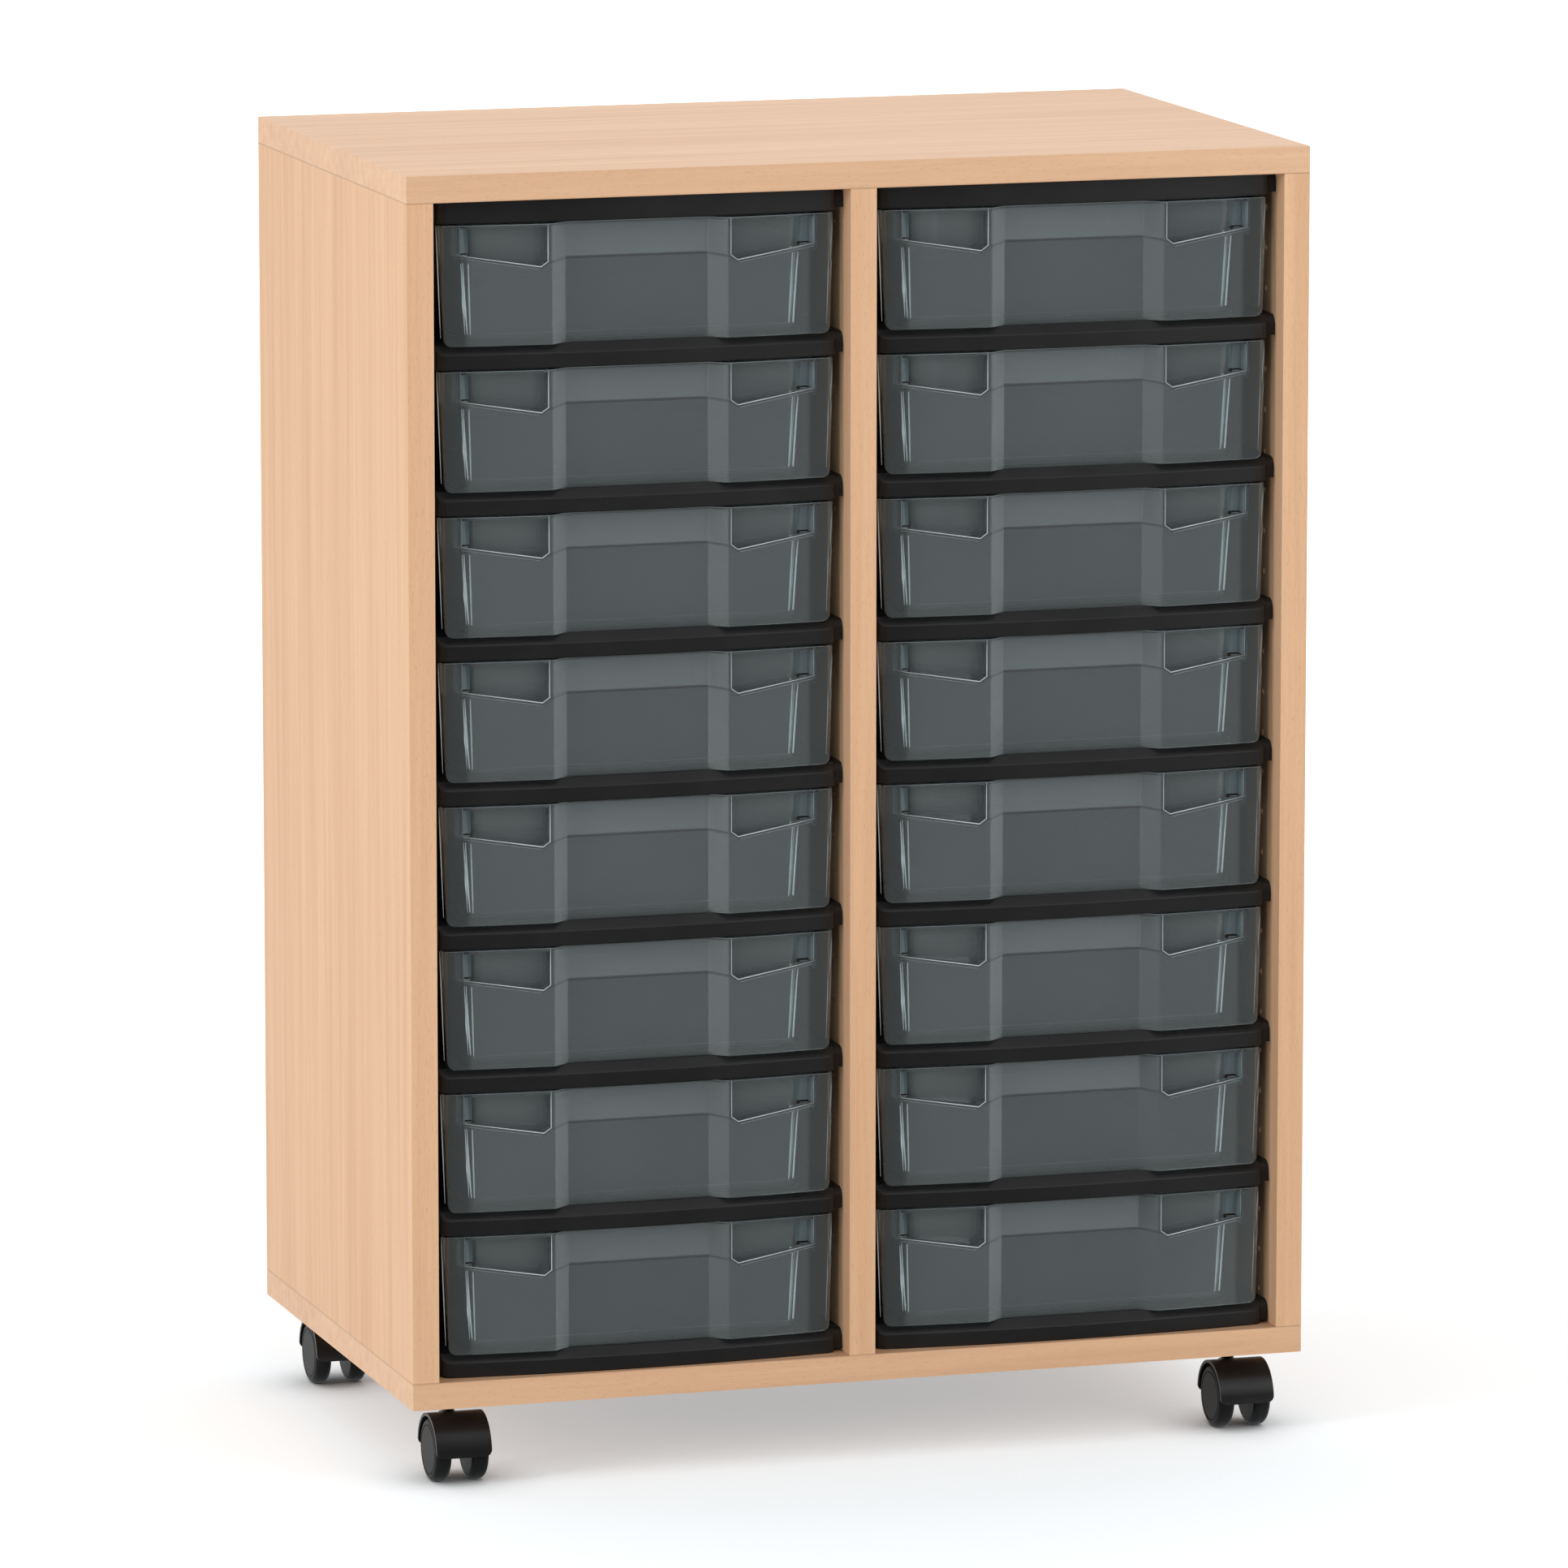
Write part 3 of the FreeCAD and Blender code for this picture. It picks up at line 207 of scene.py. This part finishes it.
def beech(name, grain, gloss):
    """Beech laminate, its grain along one axis, darker at the boards' joints, with painted shade in
    the carcass.
    """
    made = new_look(name)

    def stretched(across, along):
        scale = [across] * 3
        scale[grain] = along
        return scale

    bands = made.noise(stretched(*BANDS))
    streaks = made.noise(stretched(*STREAKS), detail=4.0, roughness=0.6)
    fibres = made.noise(stretched(*FIBRES))
    flecks = made.noise(stretched(*FLECKS), detail=1.0)
    tone = made.math("ADD", made.vary(bands, 0.0, BAND_SHARE),
                     made.vary(streaks, 0.0, STREAK_SHARE))
    fibre_tone = made.spread(fibres, *FIBRE_RANGE, 0.0, FIBRE_SHARE)
    tone = made.math("ADD", tone, fibre_tone, clamp=True)
    colour = made.mix(tone, BEECH_PALE, BEECH_DEEP)
    fleck = made.spread(flecks, *FLECK_RANGE, 0.0, FLECK_STRENGTH)
    colour = made.mix(fleck, colour, FLECK_COLOUR)

    x, y, z = made.along_axes(made.place())
    from_middle = made.distance(z, SEAM_MIDDLE)
    from_seam = made.distance(from_middle, SEAM_HALF)
    seam = made.spread(from_seam, *SEAM_LINE, SEAM_STRENGTH, 0.0)
    colour = made.mix(seam, colour, SEAM_COLOUR)
    # Painted shade, darkening the inner faces of the carcass behind the trays' front panels.
    painted_shade = made.product(made.spread(y, *SHADE_FORE), made.fall(y, *SHADE_REAR),
                          made.fall(made.math("ABSOLUTE", x), *SHADE_SIDE),
                          made.fall(from_middle, *SHADE_LEVEL), PAINTED_SHADE_STRENGTH)
    colour = made.mix(painted_shade, colour, PAINTED_SHADE_COLOUR)
    made.bump(fibres, strength=0.10, distance=0.0002)
    return made.finish(Base_Color=colour, Roughness=made.vary(streaks, *BEECH_ROUGHNESS),
                       Specular_IOR_Level=gloss)


# ------------------------------------------------------------------ plastic and steel

# Cycles per metre of the noises.
PLASTIC_CLOUDS, SMOKE_CLOUDS, TRAY_SPECKLES, TRAY_GLOSS, EDGE_GRAIN = 22.0, 9.0, 700.0, 240.0, 160.0
BRUSH_MARKS = (60.0, 60.0, 2400.0)
LIGHTEST_BLACK, DARKEST_EDGE = 1.5, 0.9     # against the colour that is given
BLACK_ROUGHNESS, EDGE_ROUGHNESS = 0.05, 0.1
TRAY_ROUGHNESS, ZINC_ROUGHNESS = (0.03, 0.05), (0.26, 0.40)
SMOKE_PALE, SMOKE_DEEP = (0.61, 0.665, 0.675, 1), (0.58, 0.635, 0.645, 1)
VEIL = (0.61, 0.66, 0.68, 1)                # what a tray does to the light that passes it
GLINT_GLOW_COLOUR = (0.93, 0.98, 1.0, 1)          # painted glint: the colour of the glow of the beads in the bin's corners
# Where the zones of a tray begin and where they are complete: across from the tray's middle, up
# from its floor, or back from the cabinet's front.
STEP_INNER, STEP_OUTER = (0.0560, 0.0572), (0.0695, 0.0707)
LABEL_SIDE, LABEL_FOOT = (0.0565, 0.0575), (0.0660, 0.0666)
PANEL_REAR = (FRONT + 0.0212, FRONT + 0.0218)
GRIP_WALL_INNER, GRIP_WALL_FOOT = (0.0700, 0.0730), (0.0580, 0.0640)
GRIP_WALL_FORE = (FRONT + 0.0195, FRONT + 0.0200)
GRIP_WALL_REAR = (FRONT + 0.0255, FRONT + 0.0260)
GRIP_END_INNER, GRIP_END_FOOT = (0.1400, 0.1412), (0.0670, 0.0690)
GRIP_END_FORE = (FRONT + 0.0170, FRONT + 0.0175)
FLANK_INNER = (0.1350, 0.1390)
# How much the zones take off the clearness. The steps take more where they are seen at a slant.
CLEAREST = 0.905
LABEL_HAZE, GRIP_WALL_HAZE, GRIP_END_HAZE, FLANK_HAZE = 0.075, 0.050, 0.110, -0.040
SLANT, STEP_HAZE, STEP_SPECKLE = (0.15, 0.50), (0.015, 0.200), (0.6, 1.0)


def black_plastic(name, colour, roughness, grain_size, bump, gloss):
    """Moulded black plastic with a fine texture."""
    made = new_look(name)
    texture = made.noise([1 / grain_size] * 3)
    cloud = made.noise([PLASTIC_CLOUDS] * 3)
    lighter = tuple(channel * LIGHTEST_BLACK for channel in colour) + (1,)
    shade = made.mix(made.vary(cloud), colour + (1,), lighter)
    made.bump(texture, bump, distance=0.0001)
    rough = made.vary(texture, roughness - BLACK_ROUGHNESS, roughness + BLACK_ROUGHNESS)
    return made.finish(Base_Color=shade, Roughness=rough, Specular_IOR_Level=gloss)


def clearness(made):
    """How much light passes the tray. The label band, the steps of the front panel beside it and
    the walls of the grips are cloudier, and the panel's outer flanks are clearer."""
    x, y, z = made.along_axes(made.place())
    across = made.distance(made.math("ABSOLUTE", x), TRAY_CENTRE)
    height = made.math("FLOORED_MODULO", made.math("SUBTRACT", z, TRAY_FLOOR), TRAY_PITCH)
    panel = made.fall(y, *PANEL_REAR)
    speckle = made.vary(made.noise([TRAY_SPECKLES] * 3, detail=1.0), *STEP_SPECKLE)
    step = made.product(made.spread(across, *STEP_INNER), made.fall(across, *STEP_OUTER),
                        speckle, panel)
    label = made.product(made.fall(across, *LABEL_SIDE), made.spread(height, *LABEL_FOOT), panel)
    grip_wall = made.product(made.spread(y, *GRIP_WALL_FORE), made.fall(y, *GRIP_WALL_REAR),
                             made.spread(height, *GRIP_WALL_FOOT),
                             made.spread(across, *GRIP_WALL_INNER))
    grip_end = made.product(made.spread(across, *GRIP_END_INNER),
                            made.spread(height, *GRIP_END_FOOT), made.spread(y, *GRIP_END_FORE))
    flank = made.product(made.spread(across, *FLANK_INNER), panel)
    tilt = made.node("LayerWeight", Blend=0.5).outputs["Facing"]
    clear = CLEAREST
    for zone, haze in ((step, made.spread(tilt, *SLANT, *STEP_HAZE)), (label, LABEL_HAZE),
                       (grip_wall, GRIP_WALL_HAZE), (grip_end, GRIP_END_HAZE),
                       (flank, FLANK_HAZE)):
        clear = made.math("SUBTRACT", clear, made.product(zone, haze))
    return clear


def clear_plastic(name):
    """Clear, faintly smoky tray plastic that lets the lamps' light through without refraction."""
    made = new_look(name)
    tint = made.mix(made.vary(made.noise([SMOKE_CLOUDS] * 3)), SMOKE_PALE, SMOKE_DEEP)
    rough = made.vary(made.noise([TRAY_GLOSS] * 3), *TRAY_ROUGHNESS)
    made.finish(Base_Color=tint, Roughness=rough, Transmission_Weight=clearness(made), IOR=1.10,
                Coat_Weight=1.0, Coat_Roughness=0.04, Coat_IOR=1.5)
    rays = made.node("LightPath").outputs
    passing = made.math("MAXIMUM", rays["Is Shadow Ray"], rays["Is Diffuse Ray"])
    veil = made.node("BsdfTransparent", Color=VEIL).outputs["BSDF"]
    shown = made.choose(passing, made.shader.outputs["BSDF"], veil)
    made.put(made.output.inputs["Surface"], shown)
    return made.owner


def edge_plastic(name, colour, roughness, glint_glow):
    """The trays' moulded edges, paler than the walls to paint highlights, or glowing to paint
    glints.
    """
    made = new_look(name)
    grain = made.noise([EDGE_GRAIN] * 3)
    darker = tuple(channel * DARKEST_EDGE for channel in colour) + (1,)
    return made.finish(Base_Color=made.mix(made.vary(grain), colour + (1,), darker),
                       Roughness=made.vary(grain, roughness, roughness + EDGE_ROUGHNESS),
                       Emission_Color=GLINT_GLOW_COLOUR, Emission_Strength=glint_glow)


def zinc(name, low, high):
    """Zinc-plated steel with a fine brushed look."""
    made = new_look(name)
    brushed = made.noise(BRUSH_MARKS)
    return made.finish(Base_Color=made.mix(brushed, low, high),
                       Roughness=made.vary(brushed, *ZINC_ROUGHNESS), Metallic=1.0)


# ------------------------------------------------------------------ looks of the nodes

def starting(*starts):
    return [name for name in nodes if name.startswith(starts)]


def ending(*ends):
    return [name for name in nodes if name.endswith(ends)]


LEVEL, UPRIGHT = 0, 2                       # the axes X and Z
dress(BOARDS_WITH_LEVEL_GRAIN, beech("beech_level", LEVEL, 0.5))
dress(BOARDS_WITH_UPRIGHT_GRAIN, beech("beech_upright", UPRIGHT, 0.22))
dress(["carcass_dowels"], beech("beech_dowel", UPRIGHT, 0.22))

tray_names = starting("tray_left_", "tray_right_")
dress(starting("tray_shelf_", "top_rail_"),
      black_plastic("shelf_black", (0.0080, 0.0080, 0.0083), 0.46, 0.0006, 0.12, 0.38))
dress(tray_names, clear_plastic("tray_clear"))
dress(ending("_housing"),
      black_plastic("caster_black", (0.0070, 0.0070, 0.0075), 0.34, 0.0005, 0.06, 0.35))
dress(ending("_wheel_left", "_wheel_right"),
      black_plastic("wheel_black", (0.0080, 0.0083, 0.0086), 0.42, 0.0005, 0.08, 0.12))
dress(ending("_axle") + ["assembly_screws"],
      zinc("zinc_steel", (0.50, 0.50, 0.51, 1), (0.62, 0.62, 0.62, 1)))
dress(["caster_stems", "caster_sockets"],
      zinc("black_zinc", (0.05, 0.05, 0.05, 1), (0.08, 0.08, 0.08, 1)))


# ------------------------------------------------------------------ eased edges of the boards

def ease(names, width, segments, sharpest=math.radians(40)):
    """Rounds the sharp edges of CAD nodes a little, so that they catch the light."""
    for name in names:
        bevel = nodes[name].modifiers.new("eased_edges", "BEVEL")
        bevel.width = width
        bevel.segments = segments
        bevel.limit_method = "ANGLE"
        bevel.angle_limit = sharpest
        bevel.use_clamp_overlap = False
        bevel.harden_normals = True


ease(BOARDS_WITH_LEVEL_GRAIN + BOARDS_WITH_UPRIGHT_GRAIN, 0.0006, 2)


# ------------------------------------------------------------------ moulded edges of the trays, with painted highlights

# The beads are drawn in mm: x from the tray's middle, y back from its foremost point, z up from
# its floor. They follow the edges of the CAD tray, and their pale colour paints the highlights that
# these rounded edges catch.
MM = 0.001
BOW_RADIUS = 1357.0
TRAY_HALF, TRAY_TUCK, TRAY_TALL = 158.0, 3.6, 93.0
RETURN_FOOT, RETURN_LONG = 154.3, 7.8       # the panel's turned-back end: half width below, length
RIM_FRONT, GRIP_LONG = 17.7, 13.0
BEAD_TOP, BEAD_FOOT = 92.0, 6.0
SUNK = 0.2                                  # a bead's middle, behind the face that it lies on
GRIP_OUTER, GRIP_INNER, GRIP_END = 141.5, 73.0, 69.8
LEDGE = ((GRIP_OUTER, GRIP_END), (126.0, 67.3), (110.0, 64.75), (94.0, 62.2), (78.6, 59.7),
         (GRIP_INNER, 63.7), (GRIP_INNER, 78.0), (GRIP_INNER, BEAD_TOP))
LEDGE_RADII = (0.15, 0.22, 0.28, 0.34, 0.36, 0.36, 0.32, 0.22)
UNDERSIDE, LEDGE_THICK = ((GRIP_OUTER, GRIP_END), (110.0, 64.75), (80.0, 59.9)), 2.1
LABEL_HALF, STEP_HALF, LABEL_BACK = 57.0, 70.5, 12.3
RIM_SUNK, RIM_HIGH = 0.3, 92.6
BIN_FOOT = (21.3, 7.0)                      # back and up, along the lower front edge of the bin
BIN_CORNER, BIN_RADIUS, BIN_DRAFT = (122.0, 36.0), 8.7, math.tan(math.radians(3.7))
# Two painted glints, glowing lines round each upright corner of the bin, by their angle from its
# side.
CORNER_LINES = ((22, (0.3, 0.9, 1.4, 1.1, 0.7, 0.3)), (52, (0.4, 0.55, 0.6, 0.6, 0.5, 0.4)))
CORNER_HEIGHTS = (BEAD_FOOT, 18.0, 28.0, 38.0, 50.0, 61.0)
GRIP_PLATES = (((131.0, 21.6), (141.4, 22.4)), ((140.9, 9.8), (141.4, 21.5)))
PLATE_HEIGHTS, PLATE_EASE = (69.9, 90.7), 0.12

# The pale beads are painted highlights, bright or faint, and the glowing beads are painted glints
# in the bin's corners; the cloudy slot is for the thin grip plates.
PAINTED_HIGHLIGHT, FAINT_PAINTED_HIGHLIGHT, CLOUDY, PAINTED_GLINT = range(4)
EDGE_LOOKS = (("tray_edge_painted_highlight", (0.93, 0.96, 0.96), 0.25, 0.0),
              ("tray_edge_faint_highlight", (0.42, 0.46, 0.47), 0.30, 0.0),
              ("tray_edge_cloudy", (0.25, 0.31, 0.33), 0.35, 0.0),
              ("tray_edge_painted_glint", (0.93, 0.96, 0.96), 0.20, 0.80))


class Mouldings:
    """Gathers the vertices, faces and materials of one tray's beads and plates."""

    def __init__(self):
        self.verts, self.faces, self.slots = [], [], []

    def face(self, corners, material):
        self.faces.append(tuple(corners))
        self.slots.append(material)

    def wall(self, first, count, material):
        """Faces between a ring of count vertices and the next ring."""
        for turn in range(count):
            low, beside = first + turn, first + (turn + 1) % count
            self.face((low, beside, beside + count, low + count), material)

    def bead(self, points, radii, material, sides=8):
        """A rounded bead along points."""
        first = len(self.verts)
        line = [Vector(point) for point in points]
        last = len(line) - 1
        never_along = Vector((0, 1, 0.01))
        for index, point in enumerate(line):
            along = (line[min(index + 1, last)] - line[max(index - 1, 0)]).normalized()
            aside = along.cross(never_along).normalized()
            up = along.cross(aside)
            for turn in range(sides):
                angle = 2 * math.pi * turn / sides
                around = math.cos(angle) * aside + math.sin(angle) * up
                self.verts.append((point + radii[index] * around) * MM)
        for ring in range(last):
            self.wall(first + ring * sides, sides, material)
        self.face(range(first, first + sides)[::-1], material)
        end = first + last * sides
        self.face(range(end, end + sides), material)

    def plate(self, low, high, heights, material):
        """A thin upright plate between two corners in plan, with its upright edges eased."""
        first = len(self.verts)
        plan = []
        for x, inward_x, y, inward_y in ((low[0], 1, low[1], 1), (high[0], -1, low[1], 1),
                                         (high[0], -1, high[1], -1), (low[0], 1, high[1], -1)):
            cut = [(x, y + inward_y * PLATE_EASE), (x + inward_x * PLATE_EASE, y)]
            plan += cut if inward_x == inward_y else cut[::-1]
        self.verts.extend(Vector((x, y, z)) * MM for z in heights for x, y in plan)
        count = len(plan)
        self.face(range(first, first + count)[::-1], material)
        self.face(range(first + count, first + 2 * count), material)
        self.wall(first, count, material)


def bow(x):
    """How far the bowed front panel stands behind its middle, x to the side."""
    return BOW_RADIUS - math.sqrt(BOW_RADIUS ** 2 - x ** 2)


def on_panel(side, x, z, sunk=SUNK):
    """A bead's point on the front panel, its middle sunk a little below the face."""
    return side * x, bow(x) + sunk, z


def grip_ledge(made, side):
    """The front edges of a grip's ledge and inner side, and the lower edge of the ledge."""
    made.bead([on_panel(side, x, z) for x, z in LEDGE], LEDGE_RADII, PAINTED_HIGHLIGHT)
    made.bead([on_panel(side, x, z - LEDGE_THICK, SUNK / 2) for x, z in UNDERSIDE],
              (0.15, 0.2, 0.2), FAINT_PAINTED_HIGHLIGHT)


def bin_corner(made, side):
    """A painted glint in an upright corner of the bin, whose walls lean out with their draft."""
    for turn, radii in CORNER_LINES:
        angle = math.radians(turn)
        line = []
        for z in CORNER_HEIGHTS:
            reach = BIN_RADIUS + z * BIN_DRAFT
            line.append((side * (BIN_CORNER[0] + reach * math.cos(angle)),
                         BIN_CORNER[1] - reach * math.sin(angle), z))
        made.bead(line, radii, PAINTED_GLINT)


def grip_end(made, side):
    """The upright edge at a grip's outer end, and the line behind it round the rim's front end."""
    made.bead([on_panel(side, GRIP_OUTER, z) for z in (GRIP_END, 80.0, BEAD_TOP)], [0.3] * 3, FAINT_PAINTED_HIGHLIGHT)
    made.bead([(side * x, RIM_FRONT, z) for x, z in ((133.0, 69.0), (145.2, 69.0), (145.2, 91.0))],
              [0.25] * 3, FAINT_PAINTED_HIGHLIGHT)


def panel_edge(made, side):
    """The upright edge of the front panel's return, where the panel is narrower below."""
    made.bead([(side * (RETURN_FOOT + TRAY_TUCK * z / TRAY_TALL), bow(TRAY_HALF) + RETURN_LONG, z)
               for z in (BEAD_FOOT, 25.0, 45.0, 65.0, BEAD_TOP)],
              (0.2, 0.3, 0.42, 0.42, 0.2), PAINTED_HIGHLIGHT)


def grip_top(made, side):
    """The upper edge of a grip's inner side."""
    made.bead([on_panel(side, GRIP_INNER, BEAD_TOP, sunk) for sunk in (SUNK, GRIP_LONG)],
              [0.3] * 2, FAINT_PAINTED_HIGHLIGHT)


def grip_plates(made, side):
    """The thin walls that close a grip behind and at its outer end."""
    for (inner, fore), (outer, rear) in GRIP_PLATES:
        left, right = sorted((side * inner, side * outer))
        made.plate((left, fore), (right, rear), PLATE_HEIGHTS, CLOUDY)


def tray_edge_mesh():
    """All the beads and plates of one tray, as one mesh."""
    made = Mouldings()
    for side in (-1, 1):
        for add in (grip_ledge, bin_corner, grip_end, panel_edge, grip_top, grip_plates):
            add(made, side)
    rim = [(-x, bow(x) + RIM_SUNK) for x in (155.0, 135.0, 115.0, 95.0, STEP_HALF)]
    rim += [(-LABEL_HALF, LABEL_BACK)]
    rim += [(-x, y) for x, y in reversed(rim)]
    made.bead([(x, y, RIM_HIGH) for x, y in rim], [0.3] * len(rim), FAINT_PAINTED_HIGHLIGHT)
    made.bead([(x, *BIN_FOOT) for x in (-124.0, 0.0, 124.0)], [0.25] * 3, FAINT_PAINTED_HIGHLIGHT)
    mesh = bpy.data.meshes.new("tray_edges")
    mesh.from_pydata(made.verts, [], made.faces)
    for look in EDGE_LOOKS:
        mesh.materials.append(edge_plastic(*look))
    for polygon, slot in zip(mesh.polygons, made.slots):
        polygon.material_index = slot
        polygon.use_smooth = slot != CLOUDY
    return mesh


edges = tray_edge_mesh()
for name in tray_names:
    low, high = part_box(name)
    beads = bpy.data.objects.new(f"{name}_edges", edges)
    beads.location = ((low.x + high.x) / 2, low.y, low.z)
    scene.collection.objects.link(beads)
    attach(beads, name)


# ------------------------------------------------------------------ floor and surround

GROUND_HALF = 30.0
WHITE = (1, 1, 1, 1)
FLOOR_COLOURS = (0.79, 0.79, 0.79, 1), (0.80, 0.80, 0.80, 1)
# Painted tint: the floor's glow is bluish near the cabinet, against the warm light bounced into its
# shadow.
NEAR_TINT = (0.90, 1.0, 1.06, 1)
BACKGROUND_LEVEL, SKY_LEVEL, FLOOR_GLOW = 1.0, 0.75, 0.38
# Metres from the middle of the floor, over which it fades to plain white and loses its tint.
WHITE_FADE, TINT_FADE = (0.9, 2.4), (0.5, 1.1)
# Painted contact shade under and beside the wheels, which dims the floor's glow: its reach in
# metres, and how open the floor is there.
CONTACT_REACH, CONTACT_OPENNESS = 0.055, (0.35, 0.95)
# The room is dim in front of the object and low down, in what its gloss shows.
DIM_DIRECTION, DIM_LEVEL = (-0.05, -0.999, 0), 0.15
DIM_FACING, DIM_HEIGHT = (0.45, 0.80), (0.35, 0.75)


def toward_front(look, direction):
    """1 in the dim part of the room, in front of the object, and 0 round the rest of it."""
    flat = look.vector_math("MULTIPLY", direction, (1, 1, 0))
    unit = look.vector_math("NORMALIZE", flat)
    facing = look.vector_math("DOT_PRODUCT", unit, DIM_DIRECTION, result="Value")
    return look.spread(facing, *DIM_FACING)


def floor_look():
    """White with the object's shadow near it, plus painted shade at the wheels, and plain white
    further out.
    """
    look = new_look("floor_white")
    rays = look.node("LightPath").outputs
    spot = look.place()
    out = look.vector_math("LENGTH", spot, result="Value")
    look.finish(Base_Color=look.mix(look.noise([0.6] * 3, detail=1.0), *FLOOR_COLOURS),
                Roughness=0.9, Specular_IOR_Level=0.0)
    seen = look.math("MAXIMUM", rays["Is Camera Ray"], rays["Is Transmission Ray"])
    # Painted contact shade: ambient occlusion dims the floor's glow under and beside the wheels.
    painted_contact_shade = look.node("AmbientOcclusion", {"samples": 4}, Distance=CONTACT_REACH).outputs["AO"]
    level = look.product(seen, look.spread(out, *WHITE_FADE, FLOOR_GLOW, BACKGROUND_LEVEL),
                         look.spread(painted_contact_shade, *CONTACT_OPENNESS))
    level = look.math("MAXIMUM", level, look.product(rays["Is Glossy Ray"], FLOOR_GLOW))
    tint = look.mix(look.fall(out, *TINT_FADE), WHITE, NEAR_TINT)
    glow = look.node("Emission", Color=tint, Strength=level)
    lit = look.node("AddShader")
    look.put(lit.inputs[0], look.shader.outputs["BSDF"])
    look.put(lit.inputs[1], glow.outputs["Emission"])
    dim = look.node("Emission", Color=WHITE, Strength=DIM_LEVEL)
    hidden = look.product(rays["Is Glossy Ray"], toward_front(look, spot))
    shown = look.choose(hidden, lit.outputs["Shader"], dim.outputs["Emission"])
    look.put(look.output.inputs["Surface"], shown)
    return look.owner


def floor():
    """A level floor, far wider than the camera's view of it."""
    mesh = bpy.data.meshes.new("studio_floor")
    corners = [(-GROUND_HALF, -GROUND_HALF, 0), (GROUND_HALF, -GROUND_HALF, 0),
               (GROUND_HALF, GROUND_HALF, 0), (-GROUND_HALF, GROUND_HALF, 0)]
    mesh.from_pydata(corners, [], [(0, 1, 2, 3)])
    mesh.materials.append(floor_look())
    made = bpy.data.objects.new("studio_floor", mesh)
    scene.collection.objects.link(made)


def sky():
    """A pale surround: plain white where it is seen, and dimmer where it lights the object."""
    scene.world = bpy.data.worlds.new("studio")
    look = Tree(scene.world)
    rays = look.node("LightPath").outputs
    seen = look.math("MAXIMUM", rays["Is Camera Ray"], rays["Is Glossy Ray"])
    seen = look.math("MAXIMUM", seen, rays["Is Transmission Ray"])
    away = look.node("TexCoord").outputs["Generated"]
    height = look.along_axes(away)[2]
    dim = look.product(toward_front(look, away), look.fall(height, *DIM_HEIGHT),
                       rays["Is Glossy Ray"])
    level = look.product(look.spread(seen, 0.0, 1.0, SKY_LEVEL, BACKGROUND_LEVEL),
                         look.spread(dim, 0.0, 1.0, 1.0, DIM_LEVEL))
    background = look.tree.nodes["Background"]
    look.put(background.inputs["Color"], WHITE)
    look.put(background.inputs["Strength"], level)


# ------------------------------------------------------------------ lamps and camera

LAMP_TARGET = Vector((0, 0, 0.5))
LAMPS = (("key_left", (-3.6, -1.3, 1.8), 0.6, 2.0, 34),
         ("fill_front", (1.9, -2.6, 1.5), 1.6, 1.6, 14),
         ("top_light", (0.2, 0.3, 4.2), 3.4, 3.4, 14))
# The photograph's view, in cabinet heights from the cabinet's lower front left corner, degrees and
# the photograph's pixels.
CABINET_TALL = 0.960
CAMERA_PLACE = (-2.295, -8.445, 1.986)
CAMERA_YAW, CAMERA_PITCH = 17.16, 9.56
FOCAL_PIXELS, IMAGE_PIXELS = 13688.0, 1932.0
SENSOR_MM = 36.0


def softbox(name, place, width, height, watts):
    lamp = bpy.data.lights.new(name, "AREA")
    lamp.shape = "RECTANGLE"
    lamp.size = width
    lamp.size_y = height
    lamp.energy = watts
    made = bpy.data.objects.new(name, lamp)
    made.location = place
    made.rotation_euler = (LAMP_TARGET - Vector(place)).to_track_quat("-Z", "Y").to_euler()
    scene.collection.objects.link(made)


def camera():
    data = bpy.data.cameras.new("studio_camera")
    data.sensor_width = SENSOR_MM
    data.lens = FOCAL_PIXELS / IMAGE_PIXELS * SENSOR_MM
    data.clip_end = 100.0
    made = bpy.data.objects.new("studio_camera", data)
    corner = Vector((cad_box[0][0], FRONT, CABINET_FOOT))
    made.location = corner + CABINET_TALL * Vector(CAMERA_PLACE)
    made.rotation_euler = (math.radians(90 - CAMERA_PITCH), 0, math.radians(-CAMERA_YAW))
    scene.collection.objects.link(made)
    scene.camera = made


floor()
sky()
for lamp_values in LAMPS:
    softbox(*lamp_values)
camera()
scene.view_settings.view_transform = "Standard"
